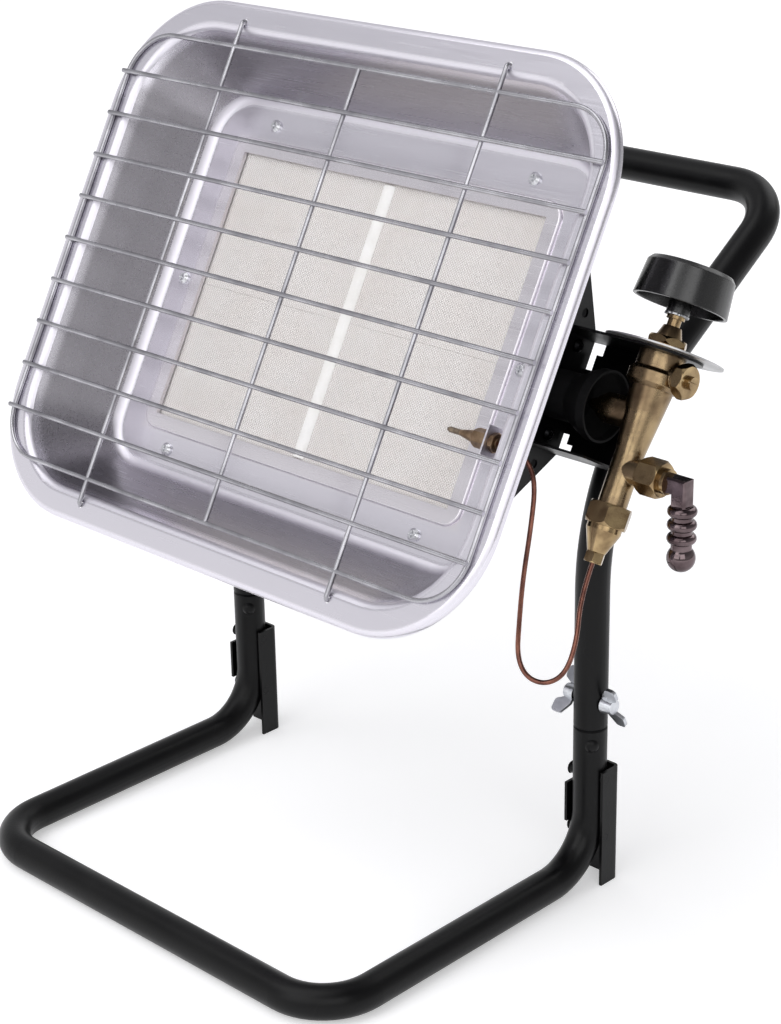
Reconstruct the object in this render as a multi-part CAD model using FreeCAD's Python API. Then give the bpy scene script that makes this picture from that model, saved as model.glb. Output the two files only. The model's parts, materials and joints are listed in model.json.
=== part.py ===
import FreeCAD, Part
import math
import os

V = FreeCAD.Vector
X, Y, Z = V(1, 0, 0), V(0, 1, 0), V(0, 0, 1)

# Portable gas heater: a ceramic-plaque radiant burner in a pressed reflector, tilting on a bent-tube stand.
# Millimetres. The stand is drawn with x = 0 midway between the legs, y = 0 on the leg axes (y grows to
# the rear) and z = 0 on the floor. The head is drawn upright with its pivot axis at the origin.

# Stand tube
TUBE_D = 22.0
TUBE_WALL = 1.5
TUBE_CHAMFER = 1.0
BASE_DEPTH = 241.0
FRONT_BEND = 38.0
HEEL_BEND = 40.0
LEG_RUN = 60.0
UPRIGHT_RUN = 94.0
BACK_BEND = 167.0
HANDLE_SLOPE = 34.0
HANDLE_RUN = 138.0
HANDLE_BEND = 38.0

# Spigots that join the upper frame to the legs
SPIGOT_FIT = 0.15
SPIGOT_LIFT = 6.0
SPIGOT_RISE = 40.0
SPIGOT_CHAMFER = 1.5
SPIGOT_RIVET_D = 5.0
SPIGOT_RIVET_DROP = 10.0
SPIGOT_RIVET_TURN = 45.0

# Channel feet behind the legs
FOOT_SHEET = 2.0
FOOT_BEND = 3.0
FOOT_GAP = 1.2
FOOT_SEAT = 0.2
FOOT_FRONT = 4.0
FOOT_TAB_FRONT = 8.0
FOOT_TOP = 82.0
FOOT_TAB_Z = 40.0
FOOT_TAB_H = 28.0
FOOT_RIVET_D = 5.0
FOOT_RIVET_DROP = 6.0
FOOT_RIVET_PITCH = 41.0
FOOT_RIVET_Y = -0.5
RIVET_HEAD_D = 9.0
RIVET_HEAD_H = 2.2
RIVET_COLLAR_D = 7.5
RIVET_FIT = 0.1

# Wing bolts that clamp the upper frame on its spigots
WING_RISE = 18.5
WING_BOLT_D = 6.0
WING_BOLT_FIT = 0.2
WING_NUT_FIT = 0.1
WING_SEAT = 0.2
WING_HUB_D = 12.0
WING_HUB_TOP_D = 9.5
WING_HUB_H = 8.0
WING_ROOT = 1.0
WING_KNEE = 8.0
WING_SPAN = 32.0
WING_LOBE_W = 8.0
WING_LOBE_Z = 6.0
WING_HEIGHT = 13.0
WING_LOBE_BEND = 2.5
WING_T = 2.4
WING_OUTER_TURN = 25.0
WING_INNER_TURN = 40.0

# Head pivots on the bend of the uprights
PIVOT_TURN = 38.5
PIVOT_D = 8.0
PIVOT_FIT = 0.08
PIVOT_HOLE_FIT = 0.2
PIVOT_FLATS = 13.0
PIVOT_HEAD_H = 5.5
PIVOT_NUT_H = 6.5
PIVOT_TAIL = 2.0
PIVOT_GAP = 0.2
BUSH_D = 16.0
BUSH_L = 7.0
TILT = 29.1
RIM_TO_PIVOT = 160.5

# Ceramic plaques, two by two
PLAQUE_W = 132.0
PLAQUE_H = 92.0
PLAQUE_T = 13.0
PLAQUE_SEAM = 0.1
PLAQUE_CHAMFER = 0.15
CEMENT_W = 10.0
CEMENT_H = 1.6
CEMENT_INSET = 2.0

# Reflector pan, measured from the ceramic outwards
SHEET = 0.8
PAN_DEPTH = 56.0
SIDE_FLANGE = 32.5
TOP_FLANGE = 35.5
WALL_DRAW = 30.0
RIM_BAND = 18.5
RIM_CORNER = 78.0
RIM_LIP = 5.5
LIP_BEND = 4.0
BAND_BEND = 6.0
WALL_BEND = 9.0
FLANGE_RUN = 11.5
PAD_MARGIN = 9.5
PAD_RISE = 2.0
PAD_CORNER = 12.0
PAD_BEND = 1.6
WINDOW_LAP = 1.0
WINDOW_LIP = 3.0

# Reflector screws
SCREW_D = 4.0
SCREW_FIT = 0.25
SCREW_HEAD_D = 8.5
SCREW_HEAD_H = 2.8
SCREW_EDGE_H = 1.3
SCREW_FLAT_D = 5.2
SCREW_SLOT = 1.0
SCREW_CROSS_L = 4.4
SCREW_CROSS_DEPTH = 1.4
SCREW_TAIL = 2.0
SIDE_SCREW = 17.0
CORNER_SCREW = 20.0
CORNER_SCREW_X = 112.0
SCREW_NUT_FLATS = 7.0
SCREW_NUT_H = 3.2
SCREW_NUT_FIT = 0.2

# Burner behind the reflector
GASKET_T = 1.5
GASKET_GAP = 0.3
BURNER_SHEET = 1.5
BURNER_FLANGE_X = 25.0
BURNER_FLANGE_Z = 29.0
BURNER_CORNER = 20.0
BURNER_GAP = 0.4
PLAQUE_BACKSET = 2.0
LEDGE = 5.0
LEDGE_GAP = 0.2
PLENUM_SHEET = 1.2
PLENUM_LAP = 2.0
PLENUM_RUN = 7.0
PLENUM_DEPTH = 46.0
PLENUM_BACK_HALF = 48.0
PLENUM_BEND = 4.0

# Mixing tube
MIX_D = 30.0
MIX_WALL = 1.5
MIX_FIT = 0.2
MIX_DEPTH = 95.0
MIX_Z = -4.0
MIX_INSIDE = 205.0
MIX_FLARE_START = 24.0
MIX_FLARE_L = 15.0
MIX_LIP = 6.0
MOUTH_D = 44.0

# Yoke that carries the burner on the pivots
YOKE_GAP = 6.6
YOKE_SHEET = 1.5
YOKE_DEPTH = 123.0
YOKE_TAPER_DEPTH = 72.0
YOKE_FRONT_HALF = 104.0
YOKE_BACK_HALF = 38.0
YOKE_HOLE_D = 6.0
YOKE_HOLE_DEPTH = 105.0
YOKE_HOLE_Z = 48.0
EAR_HALF = 14.0
TAB_REACH = 16.0
TAB_HALF = 16.0

# Wire grille
WIRE_D = 3.0
WELD = 0.4
RING_INSET_X = 10.0
RING_INSET_Z = 30.0
RING_CORNER = 32.0
RING_SEAT = 0.2
GRILLE_GAPS = 10
WIRE_POKE = 2.0
ROW_PAST = 1.0
VERTICAL_X = 112.3
HOOK_INSET = 13.0
HOOK_REACH = 5.0
HOOK_BEND = 1.9
HOOK_FIT = 0.6

# Valve bracket
BRACKET_SHEET = 1.5
BRACKET_DROP = 2.5
BRACKET_FRONT = 72.0
BRACKET_CLEAR = 13.5
BRACKET_NOSE = 24.0
BRACKET_HOLE_GAP = 1.5
BRACKET_SCREW_Z = 28.0
BRACKET_SCREW_PITCH = 22.0
AIR_SLOT_W = 6.0
AIR_SLOT_L = 10.5
UPPER_SLOT_H = 18.5
UPPER_SLOT_BAR = 8.5
LOWER_SLOT_RISE = 2.5
LOWER_SLOT_H = 10.0
LOWER_SLOT_BAR = 4.0

# Gas valve, heights measured up its axis from the middle of the burner
VALVE_STANDOFF = 71.5
BONNET_D = 16.0
BONNET_FIT = 0.2
BONNET_TOP = 15.5
BONNET_NECK_D = 11.0
BONNET_NECK_H = 7.0
SHOULDER_D = 28.0
SHOULDER_H = 12.0
COLLAR_D = 33.0
COLLAR_H = 9.0
COLLAR_EASE = 2.5
BODY_TOP_D = 26.0
BODY_LOW_D = 17.6
BODY_LOW_Z = -26.0
BODY_END_Z = -58.0
GAS_BORE_D = 5.0
STEM_BORE_END = 10.0
OUTLET_D = 18.5
OUTLET_L = 25.5
INLET_Z = -36.0
INLET_D = 16.0
INLET_L = 14.0
PLUG_Z = 22.0
PLUG_D = 16.0
PLUG_L = 17.0
PLUG_FLATS = 19.0
PLUG_HEX_L = 7.0
PLUG_SCREW_D = 8.0
PLUG_SCREW_L = 3.0
BONNET_NUT_FLATS = 22.0
BONNET_NUT_H = 5.0
BONNET_WASHER_D = 30.0
BONNET_WASHER_H = 2.5
DIAL_D = 72.0
DIAL_T = 1.0
INJECTOR_FLATS = 13.0
INJECTOR_HEX_L = 5.0
INJECTOR_D = 8.0
INJECTOR_TIP_D = 4.5
INJECTOR_L = 8.0
NUT_CHAMFER = 1.2

# Control knob, its stem and the plunger that it pushes
STEM_D = 8.0
STEM_FIT = 0.3
STEM_LOW_Z = 20.0
STEM_COLLAR_D = 11.0
STEM_COLLAR_H = 2.0
PRESS_TRAVEL = 4.0
PRESS_CLEAR = 0.5
CLIP_D = 15.0
CLIP_T = 1.2
CLIP_TEETH = 8
CLIP_NOTCH = 2.4
CLIP_FIT = 0.05
HUB_D = 14.0
HUB_DROP = 5.0
KNOB_D = 57.5
KNOB_TOP_D = 53.5
KNOB_H = 21.0
KNOB_CROWN = 2.6
KNOB_CROWN_IN = 2.2
KNOB_WALL = 2.3
KNOB_ROOF = 4.0
KNOB_BITE = 20.0
PLUNGER_D = 4.0
PLUNGER_L = 60.0
PLUNGER_GAP = 0.2

# Inlet nut and hose tail
INLET_NUT_FLATS = 20.0
INLET_NUT_L = 15.0
INLET_COLLAR_D = 15.0
INLET_COLLAR_L = 4.0
TAIL_BAR_L = 4.8
ELBOW_SIDE = 9.5
ELBOW_EASE = 1.2
NECK_END = 12.0
RIB_CORE_D = 12.4
RIB_D = 17.5
RIB_W = 6.0
RIB_PITCH = 8.3
RIB_COUNT = 3
BALL_D = 17.0
BALL_NECK = 7.0
TAIL_BORE_D = 6.0

# Thermocouple union under the valve
UNION_NUT_FLATS = 24.0
UNION_NUT_H = 13.0
UNION_SPIGOT_D = 12.0
UNION_FIT = 0.1
UNION_TOP_D = 21.0
UNION_BAND = 3.0
UNION_TIP_D = 11.0
UNION_CONE = 13.0
LEAD_NUT_FLATS = 10.5
LEAD_NUT_H = 6.5
LEAD_D = 3.0

# Thermocouple in front of the ceramic
PROBE_Z = -46.0
PROBE_DEPTH = 42.0
PROBE_SET = 24.0
PROBE_D = 3.6
PROBE_L = 10.0
PROBE_SLEEVE_D = 8.5
PROBE_SLEEVE_L = 12.0
PROBE_HEX_FLATS = 10.5
PROBE_HEX_L = 12.0
PROBE_THREAD_D = 7.0
PROBE_THREAD_FIT = 0.1
CLAMP_SHEET = 1.2
CLAMP_HALF = 9.0
CLAMP_FOOT = 11.0
CLAMP_HEAD = 8.0
PROBE_NUT_FLATS = 11.0
PROBE_NUT_H = 3.5
PROBE_TAIL = 1.3
LEAD_HOLE_D = 7.0

# Route of the thermocouple lead in the head: distance out from the plaques' side, height above the
# thermocouple and depth behind it. It starts at the thermocouple's body and ends at the lead nut.
LEAD_ROUTE = [
    (42.0, 0.0, 0.0),
    (51.0, -4.5, 4.0),
    (56.0, -15.0, 10.5),
    (55.5, -38.0, 20.0),
    (55.0, -70.0, 30.0),
    (57.5, -95.0, 37.0),
    (60.5, -113.5, 41.5),
    (69.0, -123.0, 45.0),
    (81.0, -123.0, 49.0),
    (89.5, -113.5, 52.0),
    (89.0, -94.0, 53.0),
    (81.5, -69.0, 53.0),
]
LEAD_REACH = 0.45

# Values worked out from the sizes above
HEEL_TOP = TUBE_D / 2 + HEEL_BEND
JOINT_Z = HEEL_TOP + LEG_RUN
BACK_BEND_Z = JOINT_Z + UPRIGHT_RUN
BACK_TURN = math.radians(90 - HANDLE_SLOPE)
YOKE_IN = PLAQUE_W + BURNER_GAP + BURNER_SHEET + YOKE_GAP
YOKE_OUT = YOKE_IN + YOKE_SHEET
LEG_X = YOKE_OUT + BUSH_L + TUBE_D / 2
WING_Z = JOINT_Z + WING_RISE
PIVOT_Y = BACK_BEND * (1 - math.cos(math.radians(PIVOT_TURN)))
PIVOT_Z = BACK_BEND_Z + BACK_BEND * math.sin(math.radians(PIVOT_TURN))
RIM_HALF_W = PLAQUE_W + SIDE_FLANGE + WALL_DRAW + RIM_BAND
RIM_HALF_H = PLAQUE_H + TOP_FLANGE + WALL_DRAW + RIM_BAND
PAN_BACK = PAN_DEPTH + SHEET
BURNER_FRONT = PAN_BACK + GASKET_T
BURNER_BACK = BURNER_FRONT + BURNER_SHEET
PLAQUE_FRONT = PAN_DEPTH + PLAQUE_BACKSET
LEDGE_FRONT = PLAQUE_FRONT + PLAQUE_T + LEDGE_GAP
LEDGE_BACK = LEDGE_FRONT + BURNER_SHEET
RING_HALF_W = RIM_HALF_W - RING_INSET_X
RING_HALF_H = RIM_HALF_H - RING_INSET_Z
RING_DEPTH = -(WIRE_D / 2 + RING_SEAT)
ROW_DEPTH = RING_DEPTH - (WIRE_D - WELD)
VALVE_X = YOKE_OUT + VALVE_STANDOFF
BRACKET_TOP = YOKE_BACK_HALF - BRACKET_DROP
SEAT_Z = BRACKET_TOP - BRACKET_SHEET
DIAL_TOP = BRACKET_TOP + DIAL_T
BONNET_END = BRACKET_TOP + BONNET_TOP
COLLAR_Z = BONNET_END + PRESS_TRAVEL + PRESS_CLEAR
CLIP_Z = COLLAR_Z + STEM_COLLAR_H
HUB_Z = CLIP_Z + CLIP_T
KNOB_Z = HUB_Z + HUB_DROP
UNION_Z = BODY_END_Z - UNION_NUT_H
UNION_END = UNION_Z - UNION_BAND - UNION_CONE
LEAD_END_Z = UNION_END - LEAD_NUT_H
ELBOW_X = INLET_L + INLET_NUT_L + INLET_COLLAR_L + TAIL_BAR_L + ELBOW_SIDE / 2
PROBE_END_X = PLAQUE_W + PROBE_SET
PROBE_TIP_X = PROBE_END_X - PROBE_HEX_L - PROBE_SLEEVE_L - PROBE_L
CLAMP_X = PROBE_END_X + CLAMP_SHEET
LEAD_START_X = CLAMP_X + PROBE_NUT_H + PROBE_TAIL


def rounded_path(points, radii):
    """Wire of straight runs joined by tangent arcs at the inner points; radius 0 keeps a corner sharp."""
    edges = []
    start = points[0]
    for before, corner, after, radius in zip(points, points[1:], points[2:], radii):
        begin = end = corner
        if radius > 0:
            back = (before - corner).normalize()
            ahead = (after - corner).normalize()
            half = back.getAngle(ahead) / 2
            begin = corner + back * (radius / math.tan(half))
            end = corner + ahead * (radius / math.tan(half))
            middle = corner + (back + ahead).normalize() * (radius / math.sin(half) - radius)
        edges.append(Part.LineSegment(start, begin).toShape())
        if radius > 0:
            edges.append(Part.Arc(begin, middle, end).toShape())
        start = end
    edges.append(Part.LineSegment(start, points[-1]).toShape())
    return Part.Wire(edges)


def rounded_polygon(points, radii):
    """Closed outline with its corners rounded."""
    middle = (points[-1] + points[0]) * 0.5
    return rounded_path([middle] + points + [middle], radii)


def pipe(path, diameter):
    """Round bar along a path."""
    first = path.OrderedEdges[0]
    start = first.valueAt(first.FirstParameter)
    heading = first.tangentAt(first.FirstParameter)
    ring = Part.Wire([Part.Circle(start, heading, diameter / 2).toShape()])
    return path.makePipeShell([ring], True, False)


def hollow_tube(path):
    """Stand tube along a path, with its bore."""
    return pipe(path, TUBE_D).cut(pipe(path, TUBE_D - 2 * TUBE_WALL))


def rod(diameter, base, axis, length):
    """Round bar from a point along an axis."""
    return Part.makeCylinder(diameter / 2, length, base, axis)


def turned(outline):
    """Solid of revolution about Z from (radius, height) points."""
    points = [V(radius, 0, height) for radius, height in outline]
    face = Part.Face(Part.makePolygon(points + points[:1]))
    return face.revolve(V(0, 0, 0), Z, 360)


def aimed(shape, base, axis):
    """Move a shape drawn up the Z axis to a base point and axis."""
    moved = shape.copy()
    moved.Placement = FreeCAD.Placement(base, FreeCAD.Rotation(Z, axis)).multiply(shape.Placement)
    return moved


def hex_bar(flats, length, bore=0.0):
    """Hexagon bar up the Z axis, chamfered at both ends, with an optional bore."""
    corner = flats / math.sqrt(3)
    points = [V(corner, 0, 0)]
    for side in range(1, 7):
        angle = math.radians(60 * side)
        points.append(V(corner * math.cos(angle), corner * math.sin(angle), 0))
    bar = Part.Face(Part.makePolygon(points)).extrude(Z * length)
    slim = flats / 2
    rise = NUT_CHAMFER * (corner - slim)
    ends = [(0, 0), (slim, 0), (corner, rise), (corner, length - rise), (slim, length), (0, length)]
    bar = bar.common(turned(ends))
    if bore > 0:
        bar = bar.cut(rod(bore, V(0, 0, 0), Z, length))
    return bar


def strip_face(points, radii, thickness):
    """Section of a bent sheet: a flat strip of even thickness along a bent centre line in the XY plane."""
    sides = []
    for sign in (1, -1):
        shifted = []
        for i, point in enumerate(points):
            before = points[max(i - 1, 0)]
            after = points[min(i + 1, len(points) - 1)]
            ins = (point - before) if i > 0 else (after - point)
            out = (after - point) if i < len(points) - 1 else ins
            normal_in = Z.cross(ins).normalize()
            normal_out = Z.cross(out).normalize()
            mean = (normal_in + normal_out).normalize()
            shifted.append(point + mean * (sign * thickness / 2 / mean.dot(normal_in)))
        bends = []
        for before, corner, after, radius in zip(points, points[1:], points[2:], radii):
            left_turn = Z.dot((corner - before).cross(after - corner)) > 0
            bends.append(radius - sign * thickness / 2 if left_turn else radius + sign * thickness / 2)
        sides.append(rounded_path(shifted, bends))
    one, other = sides
    ends = []
    for index in (0, -1):
        a = one.OrderedVertexes[index].Point
        b = other.OrderedVertexes[index].Point
        ends.append(Part.LineSegment(a, b).toShape())
    return Part.Face(Part.Wire(Part.__sortEdges__(one.Edges + ends + other.Edges)))


def framed(face, half_w, half_h, corner):
    """Carry a section round a rounded rectangle in the XZ plane: a straight run and a quarter turn a side.

    The section lies in the XY plane, with x measured outwards from the corner's axis.
    """
    run_x = half_w - corner
    run_z = half_h - corner
    corners = [(run_x, -run_z), (run_x, run_z), (-run_x, run_z), (-run_x, -run_z)]
    pieces = []
    for side in range(4):
        start = corners[side]
        end = corners[(side + 1) % 4]
        length = math.hypot(end[0] - start[0], end[1] - start[1])
        straight = face.extrude(Z * length)
        quarter = face.revolve(V(0, 0, 0), -Y, 90)
        for piece, (x, z) in ((straight, start), (quarter, end)):
            turn = FreeCAD.Rotation(Y, -90 * side)
            piece.Placement = FreeCAD.Placement(V(x, 0, z), turn)
            pieces.append(piece)
    return pieces[0].multiFuse(pieces[1:]).removeSplitter()


def at(depth):
    """Head y of a depth behind the rim plane."""
    return depth - RIM_TO_PIVOT


def block(half_w, half_h, corner, front, back):
    """Rounded rectangular block in the head between two depths."""
    points = [V(x, at(front), z) for x, z in
              ((half_w, -half_h), (half_w, half_h), (-half_w, half_h), (-half_w, -half_h))]
    return Part.Face(rounded_polygon(points, [corner] * 4)).extrude(Y * (back - front))


def box(low, high):
    """Box between two corners."""
    size = high - low
    return Part.makeBox(size.x, size.y, size.z, low)


def both_sides(shape):
    """A shape and its mirror image across the middle of the stand, as one group."""
    return Part.makeCompound([shape, shape.mirror(V(0, 0, 0), X)])


def chamfer_ring(shape, radius, height, size):
    """Chamfer the round edges of one radius at one height."""
    rings = [edge for edge in shape.Edges
             if isinstance(edge.Curve, Part.Circle) and abs(edge.Curve.Radius - radius) < 1e-6
             and abs(edge.Curve.Center.z - height) < 1e-6]
    return shape.makeChamfer(size, rings)


def cross_hole(diameter, y, z):
    """Hole along X through both legs."""
    reach = LEG_X + TUBE_D
    return rod(diameter, V(-reach, y, z), X, 2 * reach)


def on_leg(shape, turn):
    """Turn a shape drawn on the Z axis, and put one on the axis of each leg."""
    placed = shape.copy()
    placed.rotate(V(0, 0, 0), Z, turn)
    return Part.makeCompound([placed.translated(V(x, 0, 0)) for x in (-LEG_X, LEG_X)])


def spigot_rivet_holes():
    """Holes for the rivets that hold the spigots in the legs."""
    z = JOINT_Z - SPIGOT_RIVET_DROP
    return on_leg(rod(SPIGOT_RIVET_D + 2 * RIVET_FIT, V(0, -TUBE_D, z), Y, 2 * TUBE_D), SPIGOT_RIVET_TURN)


def base_tube():
    """Legs, side rails and front bar, bent from one tube."""
    floor = TUBE_D / 2
    right = [V(LEG_X, 0, JOINT_Z), V(LEG_X, 0, floor), V(LEG_X, -BASE_DEPTH, floor)]
    left = [V(-p.x, p.y, p.z) for p in reversed(right)]
    tube = hollow_tube(rounded_path(right + left, [HEEL_BEND, FRONT_BEND, FRONT_BEND, HEEL_BEND]))
    for z in foot_rivet_heights():
        tube = tube.cut(cross_hole(FOOT_RIVET_D + 2 * RIVET_FIT, FOOT_RIVET_Y, z))
    tube = tube.cut(spigot_rivet_holes())
    return chamfer_ring(tube, TUBE_D / 2, JOINT_Z, TUBE_CHAMFER)


def upper_frame():
    """Uprights and carrying handle, bent from one tube."""
    tangent = BACK_BEND * math.tan(BACK_TURN / 2)
    knee = V(LEG_X, 0, BACK_BEND_Z + tangent)
    slope = math.radians(HANDLE_SLOPE)
    top = knee + V(0, math.cos(slope), math.sin(slope)) * (tangent + HANDLE_RUN)
    right = [V(LEG_X, 0, JOINT_Z), knee, top]
    left = [V(-p.x, p.y, p.z) for p in reversed(right)]
    tube = hollow_tube(rounded_path(right + left, [BACK_BEND, HANDLE_BEND, HANDLE_BEND, BACK_BEND]))
    tube = tube.cut(cross_hole(WING_BOLT_D + 2 * WING_BOLT_FIT, 0, WING_Z))
    tube = tube.cut(cross_hole(PIVOT_D + 2 * PIVOT_HOLE_FIT, PIVOT_Y, PIVOT_Z))
    return chamfer_ring(tube, TUBE_D / 2, JOINT_Z, TUBE_CHAMFER)


def spigot(side):
    """Bar inside the leg joint, riveted in the leg and clamped by the wing bolt above."""
    diameter = TUBE_D - 2 * TUBE_WALL - 2 * SPIGOT_FIT
    low = HEEL_TOP + SPIGOT_LIFT
    high = JOINT_Z + SPIGOT_RISE
    bar = rod(diameter, V(side * LEG_X, 0, low), Z, high - low)
    bar = chamfer_ring(bar, diameter / 2, high, SPIGOT_CHAMFER)
    bar = bar.cut(cross_hole(WING_BOLT_D + 2 * WING_BOLT_FIT, 0, WING_Z))
    for z in foot_rivet_heights():
        bar = bar.cut(cross_hole(FOOT_RIVET_D + 2 * RIVET_FIT, FOOT_RIVET_Y, z))
    return bar.cut(spigot_rivet_holes())


def rivet_head():
    """Low domed rivet head up the Z axis."""
    radius = RIVET_HEAD_D / 2
    dome = (radius ** 2 + RIVET_HEAD_H ** 2) / (2 * RIVET_HEAD_H)
    ball = Part.makeSphere(dome, V(0, 0, RIVET_HEAD_H - dome))
    return ball.common(rod(2 * radius, V(0, 0, 0), Z, 2 * RIVET_HEAD_H))


def spigot_rivets():
    """Rivets through leg and spigot, domed at both ends."""
    z = JOINT_Z - SPIGOT_RIVET_DROP
    half = TUBE_D / 2
    rivet = rod(SPIGOT_RIVET_D, V(0, -half, z), Y, 2 * half)
    front = aimed(rivet_head(), V(0, -half, z), -Y)
    back = aimed(rivet_head(), V(0, half, z), Y)
    return on_leg(rivet.multiFuse([front, back]).removeSplitter(), SPIGOT_RIVET_TURN)


def foot_rivet_heights():
    """Heights of the two rivets in each foot."""
    high = FOOT_TOP - FOOT_RIVET_DROP
    return (high, high - FOOT_RIVET_PITCH)


def foot_channel(side):
    """Bent sheet behind a leg, standing on the floor: web, full right flange and a short left tab."""
    flange = TUBE_D / 2 + FOOT_GAP + FOOT_SHEET / 2
    web = TUBE_D / 2 + FOOT_SEAT + FOOT_SHEET / 2
    line = [V(-flange, -FOOT_TAB_FRONT, 0), V(-flange, web, 0), V(flange, web, 0), V(flange, -FOOT_FRONT, 0)]
    channel = strip_face(line, [FOOT_BEND, FOOT_BEND], FOOT_SHEET).extrude(Z * FOOT_TOP)
    inside = web - FOOT_SHEET / 2
    for low, high in ((0, FOOT_TAB_Z), (FOOT_TAB_Z + FOOT_TAB_H, FOOT_TOP)):
        away = box(V(-flange - FOOT_SHEET, -FOOT_TAB_FRONT, low), V(-flange + FOOT_BEND, inside, high))
        channel = channel.cut(away)
    channel.translate(V(side * LEG_X, 0, 0))
    for z in foot_rivet_heights():
        channel = channel.cut(cross_hole(FOOT_RIVET_D + 2 * RIVET_FIT, FOOT_RIVET_Y, z))
    return channel


def foot_rivets():
    """Rivets along X through foot and leg: flush in the right flange, with collar and dome on the left."""
    leg = TUBE_D / 2
    reach = leg + FOOT_GAP + FOOT_SHEET
    rivets = []
    for x in (-LEG_X, LEG_X):
        for z in foot_rivet_heights():
            start = V(x - reach, FOOT_RIVET_Y, z)
            pin = rod(FOOT_RIVET_D, start, X, 2 * reach)
            collar = rod(RIVET_COLLAR_D, start, X, reach - leg)
            rivets.append(pin.multiFuse([collar, aimed(rivet_head(), start, -X)]).removeSplitter())
    return Part.makeCompound(rivets)


def wing_blades(turn):
    """Hub with two flat wings, up the Z axis, turned about it."""
    hub = turned([(0, 0), (WING_HUB_D / 2, 0), (WING_HUB_TOP_D / 2, WING_HUB_H), (0, WING_HUB_H)])
    tip = WING_SPAN / 2
    high = WING_HUB_H - WING_ROOT
    outline = [(0, WING_ROOT), (WING_KNEE, WING_ROOT), (tip, WING_LOBE_Z), (tip, WING_HEIGHT),
               (tip - WING_LOBE_W, WING_HEIGHT), (WING_HUB_TOP_D / 2, high), (0, high)]
    blade = [V(x, -WING_T / 2, z) for x, z in outline]
    bend = WING_LOBE_BEND
    wing = Part.Face(rounded_polygon(blade, [0, bend, bend, bend, bend, 0, 0])).extrude(Y * WING_T)
    other = wing.copy()
    other.rotate(V(0, 0, 0), Z, 180)
    whole = hub.multiFuse([wing, other]).removeSplitter()
    whole.rotate(V(0, 0, 0), Z, turn)
    return whole


def wing_bolt(side):
    """Winged bolt from the outside of a leg."""
    face = LEG_X + TUBE_D / 2 + WING_SEAT
    length = TUBE_D + 2 * WING_SEAT + WING_HUB_H
    head = aimed(wing_blades(WING_OUTER_TURN), V(face, 0, WING_Z), X)
    bolt = head.fuse(rod(WING_BOLT_D, V(face, 0, WING_Z), -X, length)).removeSplitter()
    return bolt if side > 0 else bolt.mirror(V(0, 0, 0), X)


def wing_nut(side):
    """Wing nut on the inside of a leg."""
    face = LEG_X - TUBE_D / 2 - WING_SEAT
    nut = aimed(wing_blades(WING_INNER_TURN), V(face, 0, WING_Z), -X)
    bore = WING_BOLT_D + 2 * WING_NUT_FIT
    nut = nut.cut(rod(bore, V(face, 0, WING_Z), -X, 2 * WING_HEIGHT))
    return nut if side > 0 else nut.mirror(V(0, 0, 0), X)


def pivot_bolts():
    """Bolts through the uprights that the yoke's ears turn on."""
    outside = LEG_X + TUBE_D / 2
    tail = YOKE_IN - PIVOT_GAP - PIVOT_NUT_H - PIVOT_TAIL
    shank = rod(PIVOT_D, V(tail, PIVOT_Y, PIVOT_Z), X, outside - tail)
    head = aimed(hex_bar(PIVOT_FLATS, PIVOT_HEAD_H), V(outside, PIVOT_Y, PIVOT_Z), X)
    return both_sides(shank.fuse(head).removeSplitter())


def pivot_bushes():
    """Bushes between the uprights and the yoke's ears."""
    low = YOKE_OUT + PIVOT_GAP
    length = BUSH_L - 2 * PIVOT_GAP
    bush = rod(BUSH_D, V(low, PIVOT_Y, PIVOT_Z), X, length)
    bush = bush.cut(rod(PIVOT_D + 2 * PIVOT_FIT, V(low, PIVOT_Y, PIVOT_Z), X, length))
    return both_sides(bush)


def pivot_nuts():
    """Lock nuts on the pivot bolts, inside the yoke."""
    nut = hex_bar(PIVOT_FLATS, PIVOT_NUT_H, PIVOT_D + 2 * PIVOT_FIT)
    return both_sides(aimed(nut, V(YOKE_IN - PIVOT_GAP, PIVOT_Y, PIVOT_Z), -X))


def screw_places():
    """Reflector screws: one at the middle of each side and one near each corner."""
    side = PLAQUE_W + SIDE_SCREW
    up = PLAQUE_H + CORNER_SCREW
    across = CORNER_SCREW_X
    return [(side, 0), (-side, 0), (across, up), (across, -up), (-across, up), (-across, -up)]


def screw_holes(front, back):
    """Clearance holes for the reflector screws between two depths."""
    holes = [rod(SCREW_D + 2 * SCREW_FIT, V(x, at(front), z), Y, back - front) for x, z in screw_places()]
    return Part.makeCompound(holes)


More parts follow.
